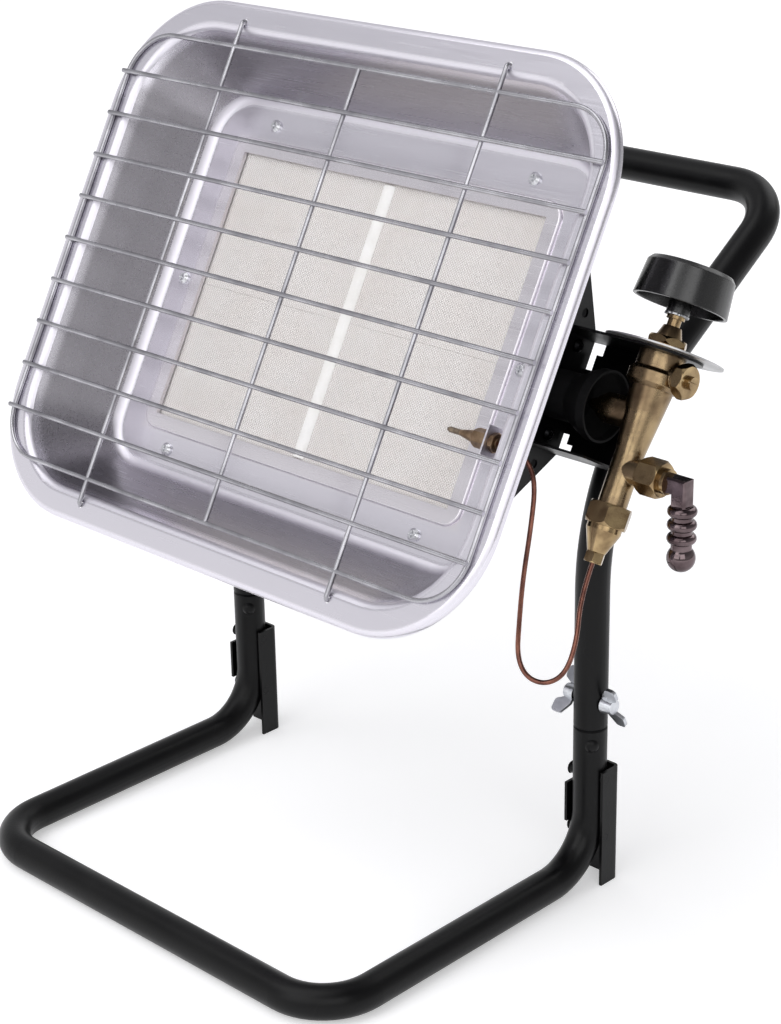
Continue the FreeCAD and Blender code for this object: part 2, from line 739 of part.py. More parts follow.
def reflector():
    """Pressed pan: turned-down rim, sloping walls, screw flange, raised panel and window."""
    half = SHEET / 2
    foot = RIM_BAND + WALL_DRAW
    line = [(half, RIM_LIP), (half, half), (RIM_BAND, half), (foot, PAN_DEPTH + half),
            (foot + FLANGE_RUN, PAN_DEPTH + half)]
    points = [V(RIM_CORNER - inset, depth, 0) for inset, depth in line]
    section = strip_face(points, [LIP_BEND, BAND_BEND, WALL_BEND], SHEET)
    pan = framed(section, RIM_HALF_W, RIM_HALF_H, RIM_CORNER)
    pan.translate(V(0, at(0), 0))
    edge = foot + FLANGE_RUN
    plate = block(RIM_HALF_W - edge, RIM_HALF_H - edge, RIM_CORNER - edge, PAN_DEPTH, PAN_BACK)
    pad_w = PLAQUE_W + PAD_MARGIN
    pad_h = PLAQUE_H + PAD_MARGIN
    panel = PAN_DEPTH - PAD_RISE
    pad = block(pad_w, pad_h, PAD_CORNER, panel, PAN_BACK)
    top = [e for e in pad.Edges if all(abs(v.Y - at(panel)) < 1e-6 for v in e.Vertexes)]
    pad = pad.makeFillet(PAD_BEND, top)
    hollow = block(pad_w - SHEET, pad_h - SHEET, PAD_CORNER - SHEET, panel + SHEET, PAN_BACK)
    window_w = PLAQUE_W - WINDOW_LAP
    window_h = PLAQUE_H - WINDOW_LAP
    lip = box(V(-window_w - SHEET, at(panel + half), -window_h - SHEET),
              V(window_w + SHEET, at(panel + WINDOW_LIP), window_h + SHEET))
    window = box(V(-window_w, at(0), -window_h), V(window_w, at(PLAQUE_FRONT), window_h))
    sheet = pan.multiFuse([plate.fuse(pad).cut(hollow), lip]).cut(window)
    sheet = sheet.cut(screw_holes(panel, PAN_BACK))
    hook = RIM_HALF_H - HOOK_INSET
    for x in (-VERTICAL_X, VERTICAL_X):
        for z in (-hook, hook):
            sheet = sheet.cut(rod(WIRE_D + 2 * HOOK_FIT, V(x, at(-SHEET), z), Y, RIM_LIP))
    lead = rod(LEAD_HOLE_D, V(CLAMP_X, at(PROBE_DEPTH), PROBE_Z), X, RIM_HALF_W - CLAMP_X)
    return sheet.cut(lead).removeSplitter()


def hooked_column(x):
    """Upright grille wire in the ring's plane, with both ends hooked into the rim."""
    end = RIM_HALF_H - HOOK_INSET
    half = [V(x, at(RING_DEPTH), end), V(x, at(HOOK_REACH), end)]
    low = [V(p.x, p.y, -p.z) for p in reversed(half)]
    return pipe(rounded_path(low + half, [HOOK_BEND, HOOK_BEND]), WIRE_D)


def grille():
    """Welded wire guard: ring, rows across its front and three columns behind the rows."""
    section = Part.Face(Part.Wire([Part.Circle(V(RING_CORNER, 0, 0), Z, WIRE_D / 2).toShape()]))
    ring = framed(section, RING_HALF_W, RING_HALF_H, RING_CORNER)
    ring.translate(V(0, at(RING_DEPTH), 0))
    pitch = 2 * RING_HALF_H / GRILLE_GAPS
    length = 2 * RING_HALF_W + WIRE_POKE + ROW_PAST
    wires = []
    for row in range(1, GRILLE_GAPS):
        start = V(-RING_HALF_W - WIRE_POKE, at(ROW_DEPTH), row * pitch - RING_HALF_H)
        wires.append(rod(WIRE_D, start, X, length))
    wires.append(rod(WIRE_D, V(0, at(RING_DEPTH), -RING_HALF_H), Z, 2 * RING_HALF_H))
    wires.append(hooked_column(-VERTICAL_X))
    wires.append(hooked_column(VERTICAL_X))
    return ring.multiFuse(wires)


def plaque(side, level):
    """One perforated ceramic plaque, with its front edges eased."""
    seam = PLAQUE_SEAM / 2
    tile = box(V(seam, at(PLAQUE_FRONT), seam), V(PLAQUE_W, at(PLAQUE_FRONT + PLAQUE_T), PLAQUE_H))
    front = [e for e in tile.Edges if all(abs(v.Y - at(PLAQUE_FRONT)) < 1e-6 for v in e.Vertexes)]
    tile = tile.makeChamfer(PLAQUE_CHAMFER, front)
    if side < 0:
        tile = tile.mirror(V(0, 0, 0), X)
    return tile if level > 0 else tile.mirror(V(0, 0, 0), Z)


def cement_strip():
    """Low bead of white cement over the upright seam of the plaques."""
    low = -(PLAQUE_H - CEMENT_INSET)
    front = at(PLAQUE_FRONT)
    left, right = V(-CEMENT_W / 2, front, low), V(CEMENT_W / 2, front, low)
    bow = Part.Arc(left, V(0, front - CEMENT_H, low), right).toShape()
    section = Part.Face(Part.Wire([bow, Part.LineSegment(right, left).toShape()]))
    return section.extrude(Z * (-2 * low))


def burner_flange(front, back):
    """Screw flange shared by the burner frame and its gasket."""
    return block(PLAQUE_W + BURNER_FLANGE_X, PLAQUE_H + BURNER_FLANGE_Z, BURNER_CORNER, front, back)


def gasket():
    """Fibre gasket between the reflector's flange and the burner frame."""
    margin = PAD_MARGIN + GASKET_GAP
    ring = burner_flange(PAN_BACK, BURNER_FRONT)
    ring = ring.cut(block(PLAQUE_W + margin, PLAQUE_H + margin, PAD_CORNER, PAN_BACK, BURNER_FRONT))
    return ring.cut(screw_holes(PAN_BACK, BURNER_FRONT))


def burner_frame():
    """Frame that holds the plaques: screw flange, four walls and a ledge behind the plaques."""
    wall_w = PLAQUE_W + BURNER_GAP
    wall_h = PLAQUE_H + BURNER_GAP
    frame = burner_flange(BURNER_FRONT, BURNER_BACK)
    thick = BURNER_SHEET
    frame = frame.fuse(box(V(-wall_w - thick, at(BURNER_FRONT), -wall_h - thick),
                           V(wall_w + thick, at(LEDGE_BACK), wall_h + thick)))
    frame = frame.cut(box(V(-wall_w, at(BURNER_FRONT), -wall_h), V(wall_w, at(LEDGE_FRONT), wall_h)))
    frame = frame.cut(box(V(-wall_w + LEDGE, at(LEDGE_FRONT), -wall_h + LEDGE),
                          V(wall_w - LEDGE, at(LEDGE_BACK), wall_h - LEDGE)))
    return frame.cut(screw_holes(BURNER_FRONT, BURNER_BACK)).removeSplitter()


def plenum():
    """Tapered gas and air chamber behind the burner frame, with flat ends."""
    half = PLENUM_SHEET / 2
    top = PLAQUE_H + PLENUM_LAP - half
    deep = LEDGE_BACK + PLENUM_DEPTH - half
    run = LEDGE_BACK + PLENUM_RUN
    side = [(LEDGE_BACK, top), (run, top), (deep, PLENUM_BACK_HALF)]
    points = [V(at(depth), z, 0) for depth, z in side]
    points += [V(p.x, -p.y, 0) for p in reversed(points)]
    shell = strip_face(points, [PLENUM_BEND] * 4, PLENUM_SHEET)
    lid = Part.Face(Part.makePolygon(points + points[:1]))
    length = 2 * (PLAQUE_W + PLENUM_LAP)
    chamber = shell.extrude(Z * length).multiFuse([
        lid.extrude(Z * PLENUM_SHEET),
        lid.extrude(Z * PLENUM_SHEET).translated(V(0, 0, length - PLENUM_SHEET))]).removeSplitter()
    chamber.Placement = FreeCAD.Placement(V(-length / 2, 0, 0), FreeCAD.Rotation(Y, Z, X, "ZXY"))
    return chamber.cut(rod(MIX_D + 2 * MIX_FIT, V(0, at(MIX_DEPTH), MIX_Z), X, length))


def mixing_tube():
    """Tube that draws air in at its flared mouth and leads the mixture into the plenum."""
    outer = MIX_D / 2
    inner = outer - MIX_WALL
    flare = YOKE_OUT + MIX_FLARE_START
    mouth = flare + MIX_FLARE_L
    start = flare - MIX_INSIDE
    lip = MOUTH_D / 2
    tube = turned([(inner, start), (outer, start), (outer, flare), (lip, mouth), (lip, mouth + MIX_LIP),
                   (lip - MIX_WALL, mouth + MIX_LIP), (lip - MIX_WALL, mouth), (inner, flare)])
    return aimed(tube, V(0, at(MIX_DEPTH), MIX_Z), X)


def yoke_side(side):
    """Side plate of the yoke: tapered to the rear, with an ear on the pivot and a tab on the burner."""
    ear = EAR_HALF
    upper = [(BURNER_BACK, YOKE_FRONT_HALF), (YOKE_TAPER_DEPTH, YOKE_FRONT_HALF),
             (YOKE_DEPTH, YOKE_BACK_HALF), (YOKE_DEPTH, ear), (RIM_TO_PIVOT, ear)]
    points = [V(YOKE_IN, at(depth), z) for depth, z in upper]
    points += [V(p.x, p.y, -p.z) for p in reversed(points)]
    plate = Part.Face(Part.makePolygon(points + points[:1])).extrude(X * YOKE_SHEET)
    plate = plate.fuse(rod(2 * ear, V(YOKE_IN, 0, 0), X, YOKE_SHEET))
    plate = plate.cut(rod(PIVOT_D + 2 * PIVOT_FIT, V(YOKE_IN, 0, 0), X, YOKE_SHEET))
    for z in (-YOKE_HOLE_Z, YOKE_HOLE_Z):
        plate = plate.cut(rod(YOKE_HOLE_D, V(YOKE_IN, at(YOKE_HOLE_DEPTH), z), X, YOKE_SHEET))
    tab = box(V(YOKE_IN, at(BURNER_BACK), -TAB_HALF),
              V(YOKE_OUT + TAB_REACH, at(BURNER_BACK + YOKE_SHEET), TAB_HALF))
    plate = plate.fuse(tab).cut(screw_holes(BURNER_BACK, BURNER_BACK + YOKE_SHEET)).removeSplitter()
    return plate if side > 0 else plate.mirror(V(0, 0, 0), X)


def head_yoke():
    """Bent-sheet carrier: two side plates joined by a web across the back of the burner."""
    web = box(V(-YOKE_OUT, at(YOKE_DEPTH - YOKE_SHEET), -YOKE_BACK_HALF),
              V(YOKE_OUT, at(YOKE_DEPTH), YOKE_BACK_HALF))
    yoke = web.multiFuse([yoke_side(1), yoke_side(-1)])
    opening = rod(MIX_D + 2 * BRACKET_HOLE_GAP, V(YOKE_IN, at(MIX_DEPTH), MIX_Z), X, YOKE_SHEET)
    yoke = yoke.cut(opening).cut(bracket_screw_holes())
    return yoke.removeSplitter()


def bracket_screw_places():
    """Height and depth of the screws that hold the valve bracket to the yoke."""
    shift = BRACKET_SCREW_PITCH / 2
    return [(z, MIX_DEPTH + d) for z in (-BRACKET_SCREW_Z, BRACKET_SCREW_Z) for d in (-shift, shift)]


def bracket_screw_holes():
    """Holes for the bracket screws through bracket and yoke."""
    length = YOKE_SHEET + BRACKET_SHEET
    return Part.makeCompound([rod(SCREW_D + 2 * SCREW_FIT, V(YOKE_IN, at(depth), z), X, length)
                              for z, depth in bracket_screw_places()])


def air_slot(edge, height, bar):
    """L-shaped air opening in the bracket's web beside the yoke; signed sizes run from its outer edge."""
    front, back = at(YOKE_DEPTH - BRACKET_SHEET), at(YOKE_DEPTH)
    arms = []
    for wide, tall in ((AIR_SLOT_W, height), (AIR_SLOT_L, bar)):
        low, high = sorted((edge, edge - tall))
        arms.append(box(V(YOKE_OUT, front, low), V(YOKE_OUT + wide, back, high)))
    return arms[0].fuse(arms[1])


def air_slots():
    """Upper opening through the bend of the upper flange, lower one just above the lower flange."""
    low = -YOKE_BACK_HALF + BRACKET_SHEET + LOWER_SLOT_RISE
    upper = air_slot(BRACKET_TOP, UPPER_SLOT_H, UPPER_SLOT_BAR)
    lower = air_slot(low, -LOWER_SLOT_H, -LOWER_SLOT_BAR)
    return Part.makeCompound([upper, lower])


def valve_bracket():
    """Channel bracket on the yoke: end plate, web, lower flange and a long upper flange for the valve."""
    half = YOKE_BACK_HALF
    thick = BRACKET_SHEET
    front, back = at(BRACKET_FRONT), at(YOKE_DEPTH)
    end = VALVE_X - BRACKET_CLEAR
    plate = box(V(YOKE_OUT, front, -half), V(YOKE_OUT + thick, back, BRACKET_TOP))
    web = box(V(YOKE_OUT, back - thick, -half), V(end, back, BRACKET_TOP))
    lower = box(V(YOKE_OUT, front, -half), V(end, back, -half + thick))
    upper = box(V(YOKE_OUT, front, SEAT_Z), V(VALVE_X, back, BRACKET_TOP))
    nose = rod(2 * BRACKET_NOSE, V(VALVE_X, at(MIX_DEPTH), SEAT_Z), Z, thick)
    shape = plate.multiFuse([web, lower, upper, nose])
    shape = shape.cut(rod(BONNET_D + 2 * BONNET_FIT, V(VALVE_X, at(MIX_DEPTH), SEAT_Z), Z, thick))
    shape = shape.cut(rod(MIX_D + 2 * BRACKET_HOLE_GAP, V(YOKE_OUT, at(MIX_DEPTH), MIX_Z), X, thick))
    return shape.cut(air_slots()).cut(bracket_screw_holes()).removeSplitter()


def pan_screw(length):
    """Cross-recess pan head screw: head up the Z axis from 0, shank down it."""
    radius = SCREW_HEAD_D / 2
    head = turned([(0, 0), (radius, 0), (radius, SCREW_EDGE_H), (SCREW_FLAT_D / 2, SCREW_HEAD_H),
                   (0, SCREW_HEAD_H)])
    arm = SCREW_CROSS_L / 2
    floor = SCREW_HEAD_H - SCREW_CROSS_DEPTH
    for wide, tall in ((arm, SCREW_SLOT / 2), (SCREW_SLOT / 2, arm)):
        head = head.cut(box(V(-wide, -tall, floor), V(wide, tall, SCREW_HEAD_H)))
    return head.fuse(rod(SCREW_D, V(0, 0, 0), -Z, length)).removeSplitter()


def screw_grip(x):
    """Depth of the face that a reflector screw's nut sits on: the yoke's tab at the sides."""
    at_side = abs(x) > PLAQUE_W
    return BURNER_BACK + YOKE_SHEET if at_side else BURNER_BACK


def reflector_screws():
    """Screws that hold reflector, gasket, burner frame and yoke together."""
    screws = []
    for x, z in screw_places():
        length = screw_grip(x) + SCREW_NUT_H + SCREW_TAIL - PAN_DEPTH
        screws.append(aimed(pan_screw(length), V(x, at(PAN_DEPTH), z), -Y))
    return Part.makeCompound(screws)


def reflector_nuts():
    """Nuts behind the burner frame."""
    nut = hex_bar(SCREW_NUT_FLATS, SCREW_NUT_H, SCREW_D + 2 * SCREW_NUT_FIT)
    return Part.makeCompound([aimed(nut, V(x, at(screw_grip(x)), z), Y) for x, z in screw_places()])


def bracket_screws():
    """Screws from the valve bracket into the yoke."""
    face = YOKE_OUT + BRACKET_SHEET
    length = BRACKET_SHEET + YOKE_SHEET + SCREW_TAIL
    return Part.makeCompound([aimed(pan_screw(length), V(face, at(depth), z), X)
                              for z, depth in bracket_screw_places()])


def on_valve(shape):
    """Place a shape drawn on the Z axis on the valve's axis."""
    moved = shape.copy()
    moved.translate(V(VALVE_X, at(MIX_DEPTH), 0))
    return moved


def valve_body():
    """Brass valve body: threaded bonnet, shoulder, collar, tapered barrel and three side bosses."""
    bonnet = BONNET_D / 2
    shoulder = SHOULDER_D / 2
    collar = COLLAR_D / 2
    collar_z = SEAT_Z - SHOULDER_H
    barrel_z = collar_z - COLLAR_H
    body = turned([(0, BONNET_END), (BONNET_NECK_D / 2, BONNET_END), (bonnet, BONNET_END - BONNET_NECK_H),
                   (bonnet, SEAT_Z), (shoulder, SEAT_Z), (shoulder, collar_z + COLLAR_EASE),
                   (collar, collar_z), (collar, barrel_z + COLLAR_EASE), (collar - COLLAR_EASE, barrel_z),
                   (BODY_TOP_D / 2, barrel_z), (BODY_LOW_D / 2, BODY_LOW_Z), (BODY_LOW_D / 2, BODY_END_Z),
                   (0, BODY_END_Z)])
    body = body.multiFuse([
        rod(OUTLET_D, V(0, 0, MIX_Z), -X, OUTLET_L),
        rod(INLET_D, V(0, 0, INLET_Z), X, INLET_L),
        rod(PLUG_D, V(0, 0, PLUG_Z), X, PLUG_L)])
    body = body.cut(rod(STEM_D + 2 * STEM_FIT, V(0, 0, STEM_BORE_END), Z, BONNET_END - STEM_BORE_END))
    body = body.cut(rod(GAS_BORE_D, V(0, 0, BODY_END_Z), Z, STEM_BORE_END - BODY_END_Z))
    return on_valve(body.removeSplitter())


def bonnet_nut():
    """Nut that clamps dial plate and bracket on the valve's bonnet."""
    bore = BONNET_D + 2 * BONNET_FIT
    washer = rod(BONNET_WASHER_D, V(0, 0, 0), Z, BONNET_WASHER_H)
    nut = hex_bar(BONNET_NUT_FLATS, BONNET_NUT_H).translated(V(0, 0, BONNET_WASHER_H))
    nut = washer.fuse(nut).cut(rod(bore, V(0, 0, 0), Z, BONNET_WASHER_H + BONNET_NUT_H))
    return on_valve(nut.removeSplitter().translated(V(0, 0, DIAL_TOP)))


def dial_plate():
    """Round plate under the control knob."""
    disc = rod(DIAL_D, V(0, 0, BRACKET_TOP), Z, DIAL_T)
    return on_valve(disc.cut(rod(BONNET_D + 2 * BONNET_FIT, V(0, 0, BRACKET_TOP), Z, DIAL_T)))


def control_stem():
    """Stem from the valve's bore into the knob, with a collar under the clip."""
    radius = STEM_D / 2
    wide = STEM_COLLAR_D / 2
    top = HUB_Z + KNOB_BITE
    return on_valve(turned([(0, STEM_LOW_Z), (radius, STEM_LOW_Z), (radius, COLLAR_Z), (wide, COLLAR_Z),
                            (wide, CLIP_Z), (radius, CLIP_Z), (radius, top), (0, top)]))


def stem_clip():
    """Toothed spring clip between the stem's collar and the knob."""
    ring = rod(CLIP_D, V(0, 0, CLIP_Z), Z, CLIP_T).cut(rod(STEM_D + 2 * CLIP_FIT, V(0, 0, CLIP_Z), Z, CLIP_T))
    for tooth in range(CLIP_TEETH):
        angle = 2 * math.pi * tooth / CLIP_TEETH
        centre = V(math.cos(angle), math.sin(angle), 0) * (CLIP_D / 2)
        ring = ring.cut(rod(CLIP_NOTCH, centre + Z * CLIP_Z, Z, CLIP_T))
    return on_valve(ring)


def control_knob():
    """Cup-shaped knob, open below, with a hub on the stem."""
    bore = STEM_D / 2 + CLIP_FIT
    wide = KNOB_D / 2
    narrow = KNOB_TOP_D / 2
    top = KNOB_Z + KNOB_H
    roof = top - KNOB_ROOF + KNOB_CROWN
    bite = HUB_Z + KNOB_BITE + CLIP_FIT
    knob = turned([(0, bite), (bore, bite), (bore, HUB_Z), (HUB_D / 2, HUB_Z), (HUB_D / 2, roof),
                   (narrow - KNOB_WALL, roof), (wide - KNOB_WALL, KNOB_Z), (wide, KNOB_Z), (narrow, top),
                   (narrow - KNOB_CROWN_IN, top + KNOB_CROWN), (0, top + KNOB_CROWN)])
    return on_valve(knob)


def valve_plunger():
    """Pin under the stem that lifts the safety magnet off its seat when the knob is pressed."""
    top = STEM_LOW_Z - PLUNGER_GAP
    return on_valve(rod(PLUNGER_D, V(0, 0, top - PLUNGER_L), Z, PLUNGER_L))


def side_plug():
    """Slotted adjusting plug on the outer side of the valve."""
    hexagon = aimed(hex_bar(PLUG_FLATS, PLUG_HEX_L), V(PLUG_L, 0, PLUG_Z), X)
    head = rod(PLUG_SCREW_D, V(PLUG_L + PLUG_HEX_L, 0, PLUG_Z), X, PLUG_SCREW_L)
    end = PLUG_L + PLUG_HEX_L + PLUG_SCREW_L
    slot = box(V(end - PLUG_SCREW_L / 2, -PLUG_SCREW_D, PLUG_Z - SCREW_SLOT / 2),
               V(end, PLUG_SCREW_D, PLUG_Z + SCREW_SLOT / 2))
    return on_valve(hexagon.fuse(head).cut(slot).removeSplitter())


def injector():
    """Gas jet on the valve's outlet, pointing into the mouth of the mixing tube."""
    start = V(-OUTLET_L, 0, MIX_Z)
    hexagon = aimed(hex_bar(INJECTOR_FLATS, INJECTOR_HEX_L), start, -X)
    nose = turned([(0, INJECTOR_HEX_L), (INJECTOR_D / 2, INJECTOR_HEX_L),
                   (INJECTOR_D / 2, INJECTOR_HEX_L + INJECTOR_L / 2),
                   (INJECTOR_TIP_D / 2, INJECTOR_HEX_L + INJECTOR_L), (0, INJECTOR_HEX_L + INJECTOR_L)])
    return on_valve(hexagon.fuse(aimed(nose, start, -X)).removeSplitter())


def inlet_nut():
    """Union nut on the gas inlet, with a round collar at its outer end."""
    nut = hex_bar(INLET_NUT_FLATS, INLET_NUT_L)
    nut = nut.fuse(rod(INLET_COLLAR_D, V(0, 0, INLET_NUT_L), Z, INLET_COLLAR_L))
    return on_valve(aimed(nut, V(INLET_L, 0, INLET_Z), X))


def ribbed_tail():
    """Ribbed end of the hose tail, down the Z axis from the elbow's centre."""
    core = RIB_CORE_D / 2
    ball_z = NECK_END + RIB_PITCH * RIB_COUNT + BALL_NECK
    pieces = [rod(RIB_CORE_D, V(0, 0, -NECK_END), -Z, ball_z - NECK_END),
              Part.makeSphere(BALL_D / 2, V(0, 0, -ball_z))]
    for rib in range(RIB_COUNT):
        high = -(NECK_END + RIB_PITCH * rib)
        start, end = V(core, 0, high - RIB_W), V(core, 0, high)
        bulge = Part.Arc(start, V(RIB_D / 2, 0, high - RIB_W / 2), end).toShape()
        sides = Part.makePolygon([end, V(0, 0, end.z), V(0, 0, start.z), start])
        pieces.append(Part.Face(Part.Wire([bulge] + sides.Edges)).revolve(V(0, 0, 0), Z, 360))
    return pieces[0].multiFuse(pieces[1:])


def hose_tail():
    """Plated square elbow and ribbed hose tail, clocked so that the hose hangs plumb."""
    half = ELBOW_SIDE / 2
    across = box(V(-half - TAIL_BAR_L, -half, -half), V(half, half, half))
    down = box(V(-half, -half, -NECK_END), V(half, half, half))
    elbow = across.fuse(down).removeSplitter()
    elbow = elbow.makeChamfer(ELBOW_EASE, [e for e in elbow.Edges if e.Length > ELBOW_SIDE])
    tail = elbow.fuse(ribbed_tail())
    tail = tail.cut(rod(TAIL_BORE_D, V(0, 0, 0), -Z, NECK_END + RIB_PITCH * RIB_COUNT + BALL_NECK + BALL_D))
    tail = tail.removeSplitter()
    tail.rotate(V(0, 0, 0), X, TILT)
    tail.translate(V(ELBOW_X, 0, INLET_Z))
    return on_valve(tail)


def union_nut():
    """Hexagon nut that closes the magnet chamber under the valve."""
    nut = hex_bar(UNION_NUT_FLATS, UNION_NUT_H, UNION_SPIGOT_D + 2 * UNION_FIT)
    return on_valve(nut.translated(V(0, 0, UNION_Z)))


def thermocouple_union():
    """Conical union of the thermocouple lead."""
    spigot_r = UNION_SPIGOT_D / 2
    top = UNION_TOP_D / 2
    return on_valve(turned([(0, BODY_END_Z), (spigot_r, BODY_END_Z), (spigot_r, UNION_Z), (top, UNION_Z),
                            (top, UNION_Z - UNION_BAND), (UNION_TIP_D / 2, UNION_END), (0, UNION_END)]))


def lead_nut():
    """Small nut that holds the lead in its union."""
    return on_valve(hex_bar(LEAD_NUT_FLATS, LEAD_NUT_H).translated(V(0, 0, LEAD_END_Z)))


def on_probe(shape):
    """Place a shape drawn up the Z axis on the thermocouple's axis, along X."""
    return aimed(shape, V(0, at(PROBE_DEPTH), PROBE_Z), X)


def thermocouple_probe():
    """Heat-resisting tip in front of the ceramic."""
    radius = PROBE_D / 2
    end = PROBE_TIP_X + PROBE_L
    return on_probe(turned([(0, PROBE_TIP_X), (radius * 0.6, PROBE_TIP_X), (radius, PROBE_TIP_X + radius),
                            (radius, end), (0, end)]))


def thermocouple_body():
    """Brass body: tapered sleeve, hexagon and thread through the clamp."""
    start = PROBE_TIP_X + PROBE_L
    hexagon = start + PROBE_SLEEVE_L
    thread = PROBE_THREAD_D / 2
    sleeve = turned([(0, start), (PROBE_D / 2, start), (PROBE_SLEEVE_D / 2, hexagon), (0, hexagon)])
    middle = hex_bar(PROBE_HEX_FLATS, PROBE_HEX_L).translated(V(0, 0, hexagon))
    tail = turned([(0, PROBE_END_X), (thread, PROBE_END_X), (thread, LEAD_START_X), (0, LEAD_START_X)])
    return on_probe(sleeve.multiFuse([middle, tail]).removeSplitter())


def thermocouple_nut():
    """Nut behind the clamp."""
    nut = hex_bar(PROBE_NUT_FLATS, PROBE_NUT_H, PROBE_THREAD_D + 2 * PROBE_THREAD_FIT)
    return on_probe(nut.translated(V(0, 0, CLAMP_X)))


def thermocouple_clamp():
    """Angle of sheet on the reflector's flange that holds the thermocouple."""
    head = PROBE_DEPTH - CLAMP_HEAD
    low, high = PROBE_Z - CLAMP_HALF, PROBE_Z + CLAMP_HALF
    upright = box(V(PROBE_END_X, at(head), low), V(CLAMP_X, at(PAN_DEPTH), high))
    foot = box(V(CLAMP_X - CLAMP_FOOT, at(PAN_DEPTH - CLAMP_SHEET), low), V(CLAMP_X, at(PAN_DEPTH), high))
    centre = V(PROBE_END_X, at(PROBE_DEPTH), PROBE_Z)
    hole = rod(PROBE_THREAD_D + 2 * PROBE_THREAD_FIT, centre, X, CLAMP_SHEET)
    return upright.fuse(foot).cut(hole).removeSplitter()


def lead_points():
    """Route of the thermocouple lead in the head."""
    start = V(LEAD_START_X, at(PROBE_DEPTH), PROBE_Z)
    end = V(VALVE_X, at(MIX_DEPTH), LEAD_END_Z)
    route = [V(PLAQUE_W + out, at(PROBE_DEPTH + behind), PROBE_Z + above)
             for out, above, behind in LEAD_ROUTE]
    return [start] + route + [end]


def lead_radii(points):
    """Largest tangent arc at each inner point that leaves its two runs a short straight."""
    radii = []
    for before, corner, after in zip(points, points[1:], points[2:]):
        shorter = min(before.distanceToPoint(corner), corner.distanceToPoint(after))
        turn = (corner - before).getAngle(after - corner)
        radii.append(LEAD_REACH * shorter / math.tan(turn / 2))
    return radii


def thermocouple_lead():
    """Copper lead from the thermocouple through the reflector's wall and up into its union."""
    points = lead_points()
    radii = lead_radii(points)
    path = rounded_path(points, radii)
    lead = pipe(path, LEAD_D)
    expected = math.pi * LEAD_D ** 2 / 4 * path.Length
    print("lead radii", [round(radius, 1) for radius in radii])
    print("lead length", round(path.Length, 1), "volume", round(lead.Volume, 1), "of", round(expected, 1))
    return lead


STAND = {
    "base_tube": base_tube,
    "left_foot_channel": lambda: foot_channel(-1),
    "right_foot_channel": lambda: foot_channel(1),
    "foot_rivets": foot_rivets,
    "left_spigot": lambda: spigot(-1),
    "right_spigot": lambda: spigot(1),
    "spigot_rivets": spigot_rivets,
    "upper_frame": upper_frame,
    "left_wing_bolt": lambda: wing_bolt(-1),
    "right_wing_bolt": lambda: wing_bolt(1),
    "left_wing_nut": lambda: wing_nut(-1),
    "right_wing_nut": lambda: wing_nut(1),
    "pivot_bolts": pivot_bolts,
    "pivot_bushes": pivot_bushes,
    "pivot_nuts": pivot_nuts,
}

HEAD = {
    "reflector": reflector,
    "grille": grille,
    "upper_left_plaque": lambda: plaque(-1, 1),
    "upper_right_plaque": lambda: plaque(1, 1),
    "lower_left_plaque": lambda: plaque(-1, -1),
    "lower_right_plaque": lambda: plaque(1, -1),
    "cement_strip": cement_strip,
    "gasket": gasket,
    "burner_frame": burner_frame,
    "plenum": plenum,
    "mixing_tube": mixing_tube,
    "head_yoke": head_yoke,
    "reflector_screws": reflector_screws,
    "reflector_nuts": reflector_nuts,
    "valve_bracket": valve_bracket,
    "bracket_screws": bracket_screws,
    "valve_body": valve_body,
    "bonnet_nut": bonnet_nut,
    "dial_plate": dial_plate,
    "side_plug": side_plug,
    "injector": injector,
    "inlet_nut": inlet_nut,
    "hose_tail": hose_tail,
    "union_nut": union_nut,
    "thermocouple_union": thermocouple_union,
    "lead_nut": lead_nut,
    "thermocouple_probe": thermocouple_probe,
    "thermocouple_body": thermocouple_body,
    "thermocouple_nut": thermocouple_nut,
    "thermocouple_clamp": thermocouple_clamp,
    "thermocouple_lead": thermocouple_lead,
    "valve_plunger": valve_plunger,
    "control_stem": control_stem,
    "stem_clip": stem_clip,
    "control_knob": control_knob,
}


def origin():
    """Middle of the footprint of the whole heater, on the floor."""
    slope = math.radians(HANDLE_SLOPE)
    tangent = BACK_BEND * math.tan(BACK_TURN / 2)
    rear = (tangent + HANDLE_RUN) * math.cos(slope) + TUBE_D / 2
    front = -BASE_DEPTH - TUBE_D / 2
    right = VALVE_X + ELBOW_X + RIB_D / 2
    return V((right - RIM_HALF_W) / 2, (rear + front) / 2, 0)


def head_place():
    """Placement of the head at its resting tilt on the pivots."""
    return FreeCAD.Placement(V(0, PIVOT_Y, PIVOT_Z), FreeCAD.Rotation(X, -TILT))


def main():
    """Build every node, move it to the shared frame and write it."""
    os.makedirs("parts", exist_ok=True)
    shift = FreeCAD.Placement(-origin(), FreeCAD.Rotation())
    on_stand = shift.multiply(head_place())
    for places, nodes in ((shift, STAND), (on_stand, HEAD)):
        for name, build in nodes.items():
            shape = build()
            shape.Placement = places.multiply(shape.Placement)
            if not shape.isValid():
                print("not valid:", name)
            shape.exportStep("parts/" + name + ".step")
    print("origin in the stand's frame", origin())
    print("pivot", shift.multVec(V(0, PIVOT_Y, PIVOT_Z)))
    print("wing bolt", shift.multVec(V(LEG_X, 0, WING_Z)))
    print("knob", on_stand.multVec(V(VALVE_X, at(MIX_DEPTH), KNOB_Z)))
    print("knob axis", head_place().Rotation.multVec(Z))


main()
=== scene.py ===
"""Looks of a portable radiant gas heater: finishes, thermocouple lead, studio and camera."""

import json
import logging
import math
from dataclasses import dataclass, field
from enum import Enum
from typing import Any, Iterable, Mapping, Protocol, Sequence

import bpy
import numpy as np
from mathutils import Matrix, Vector


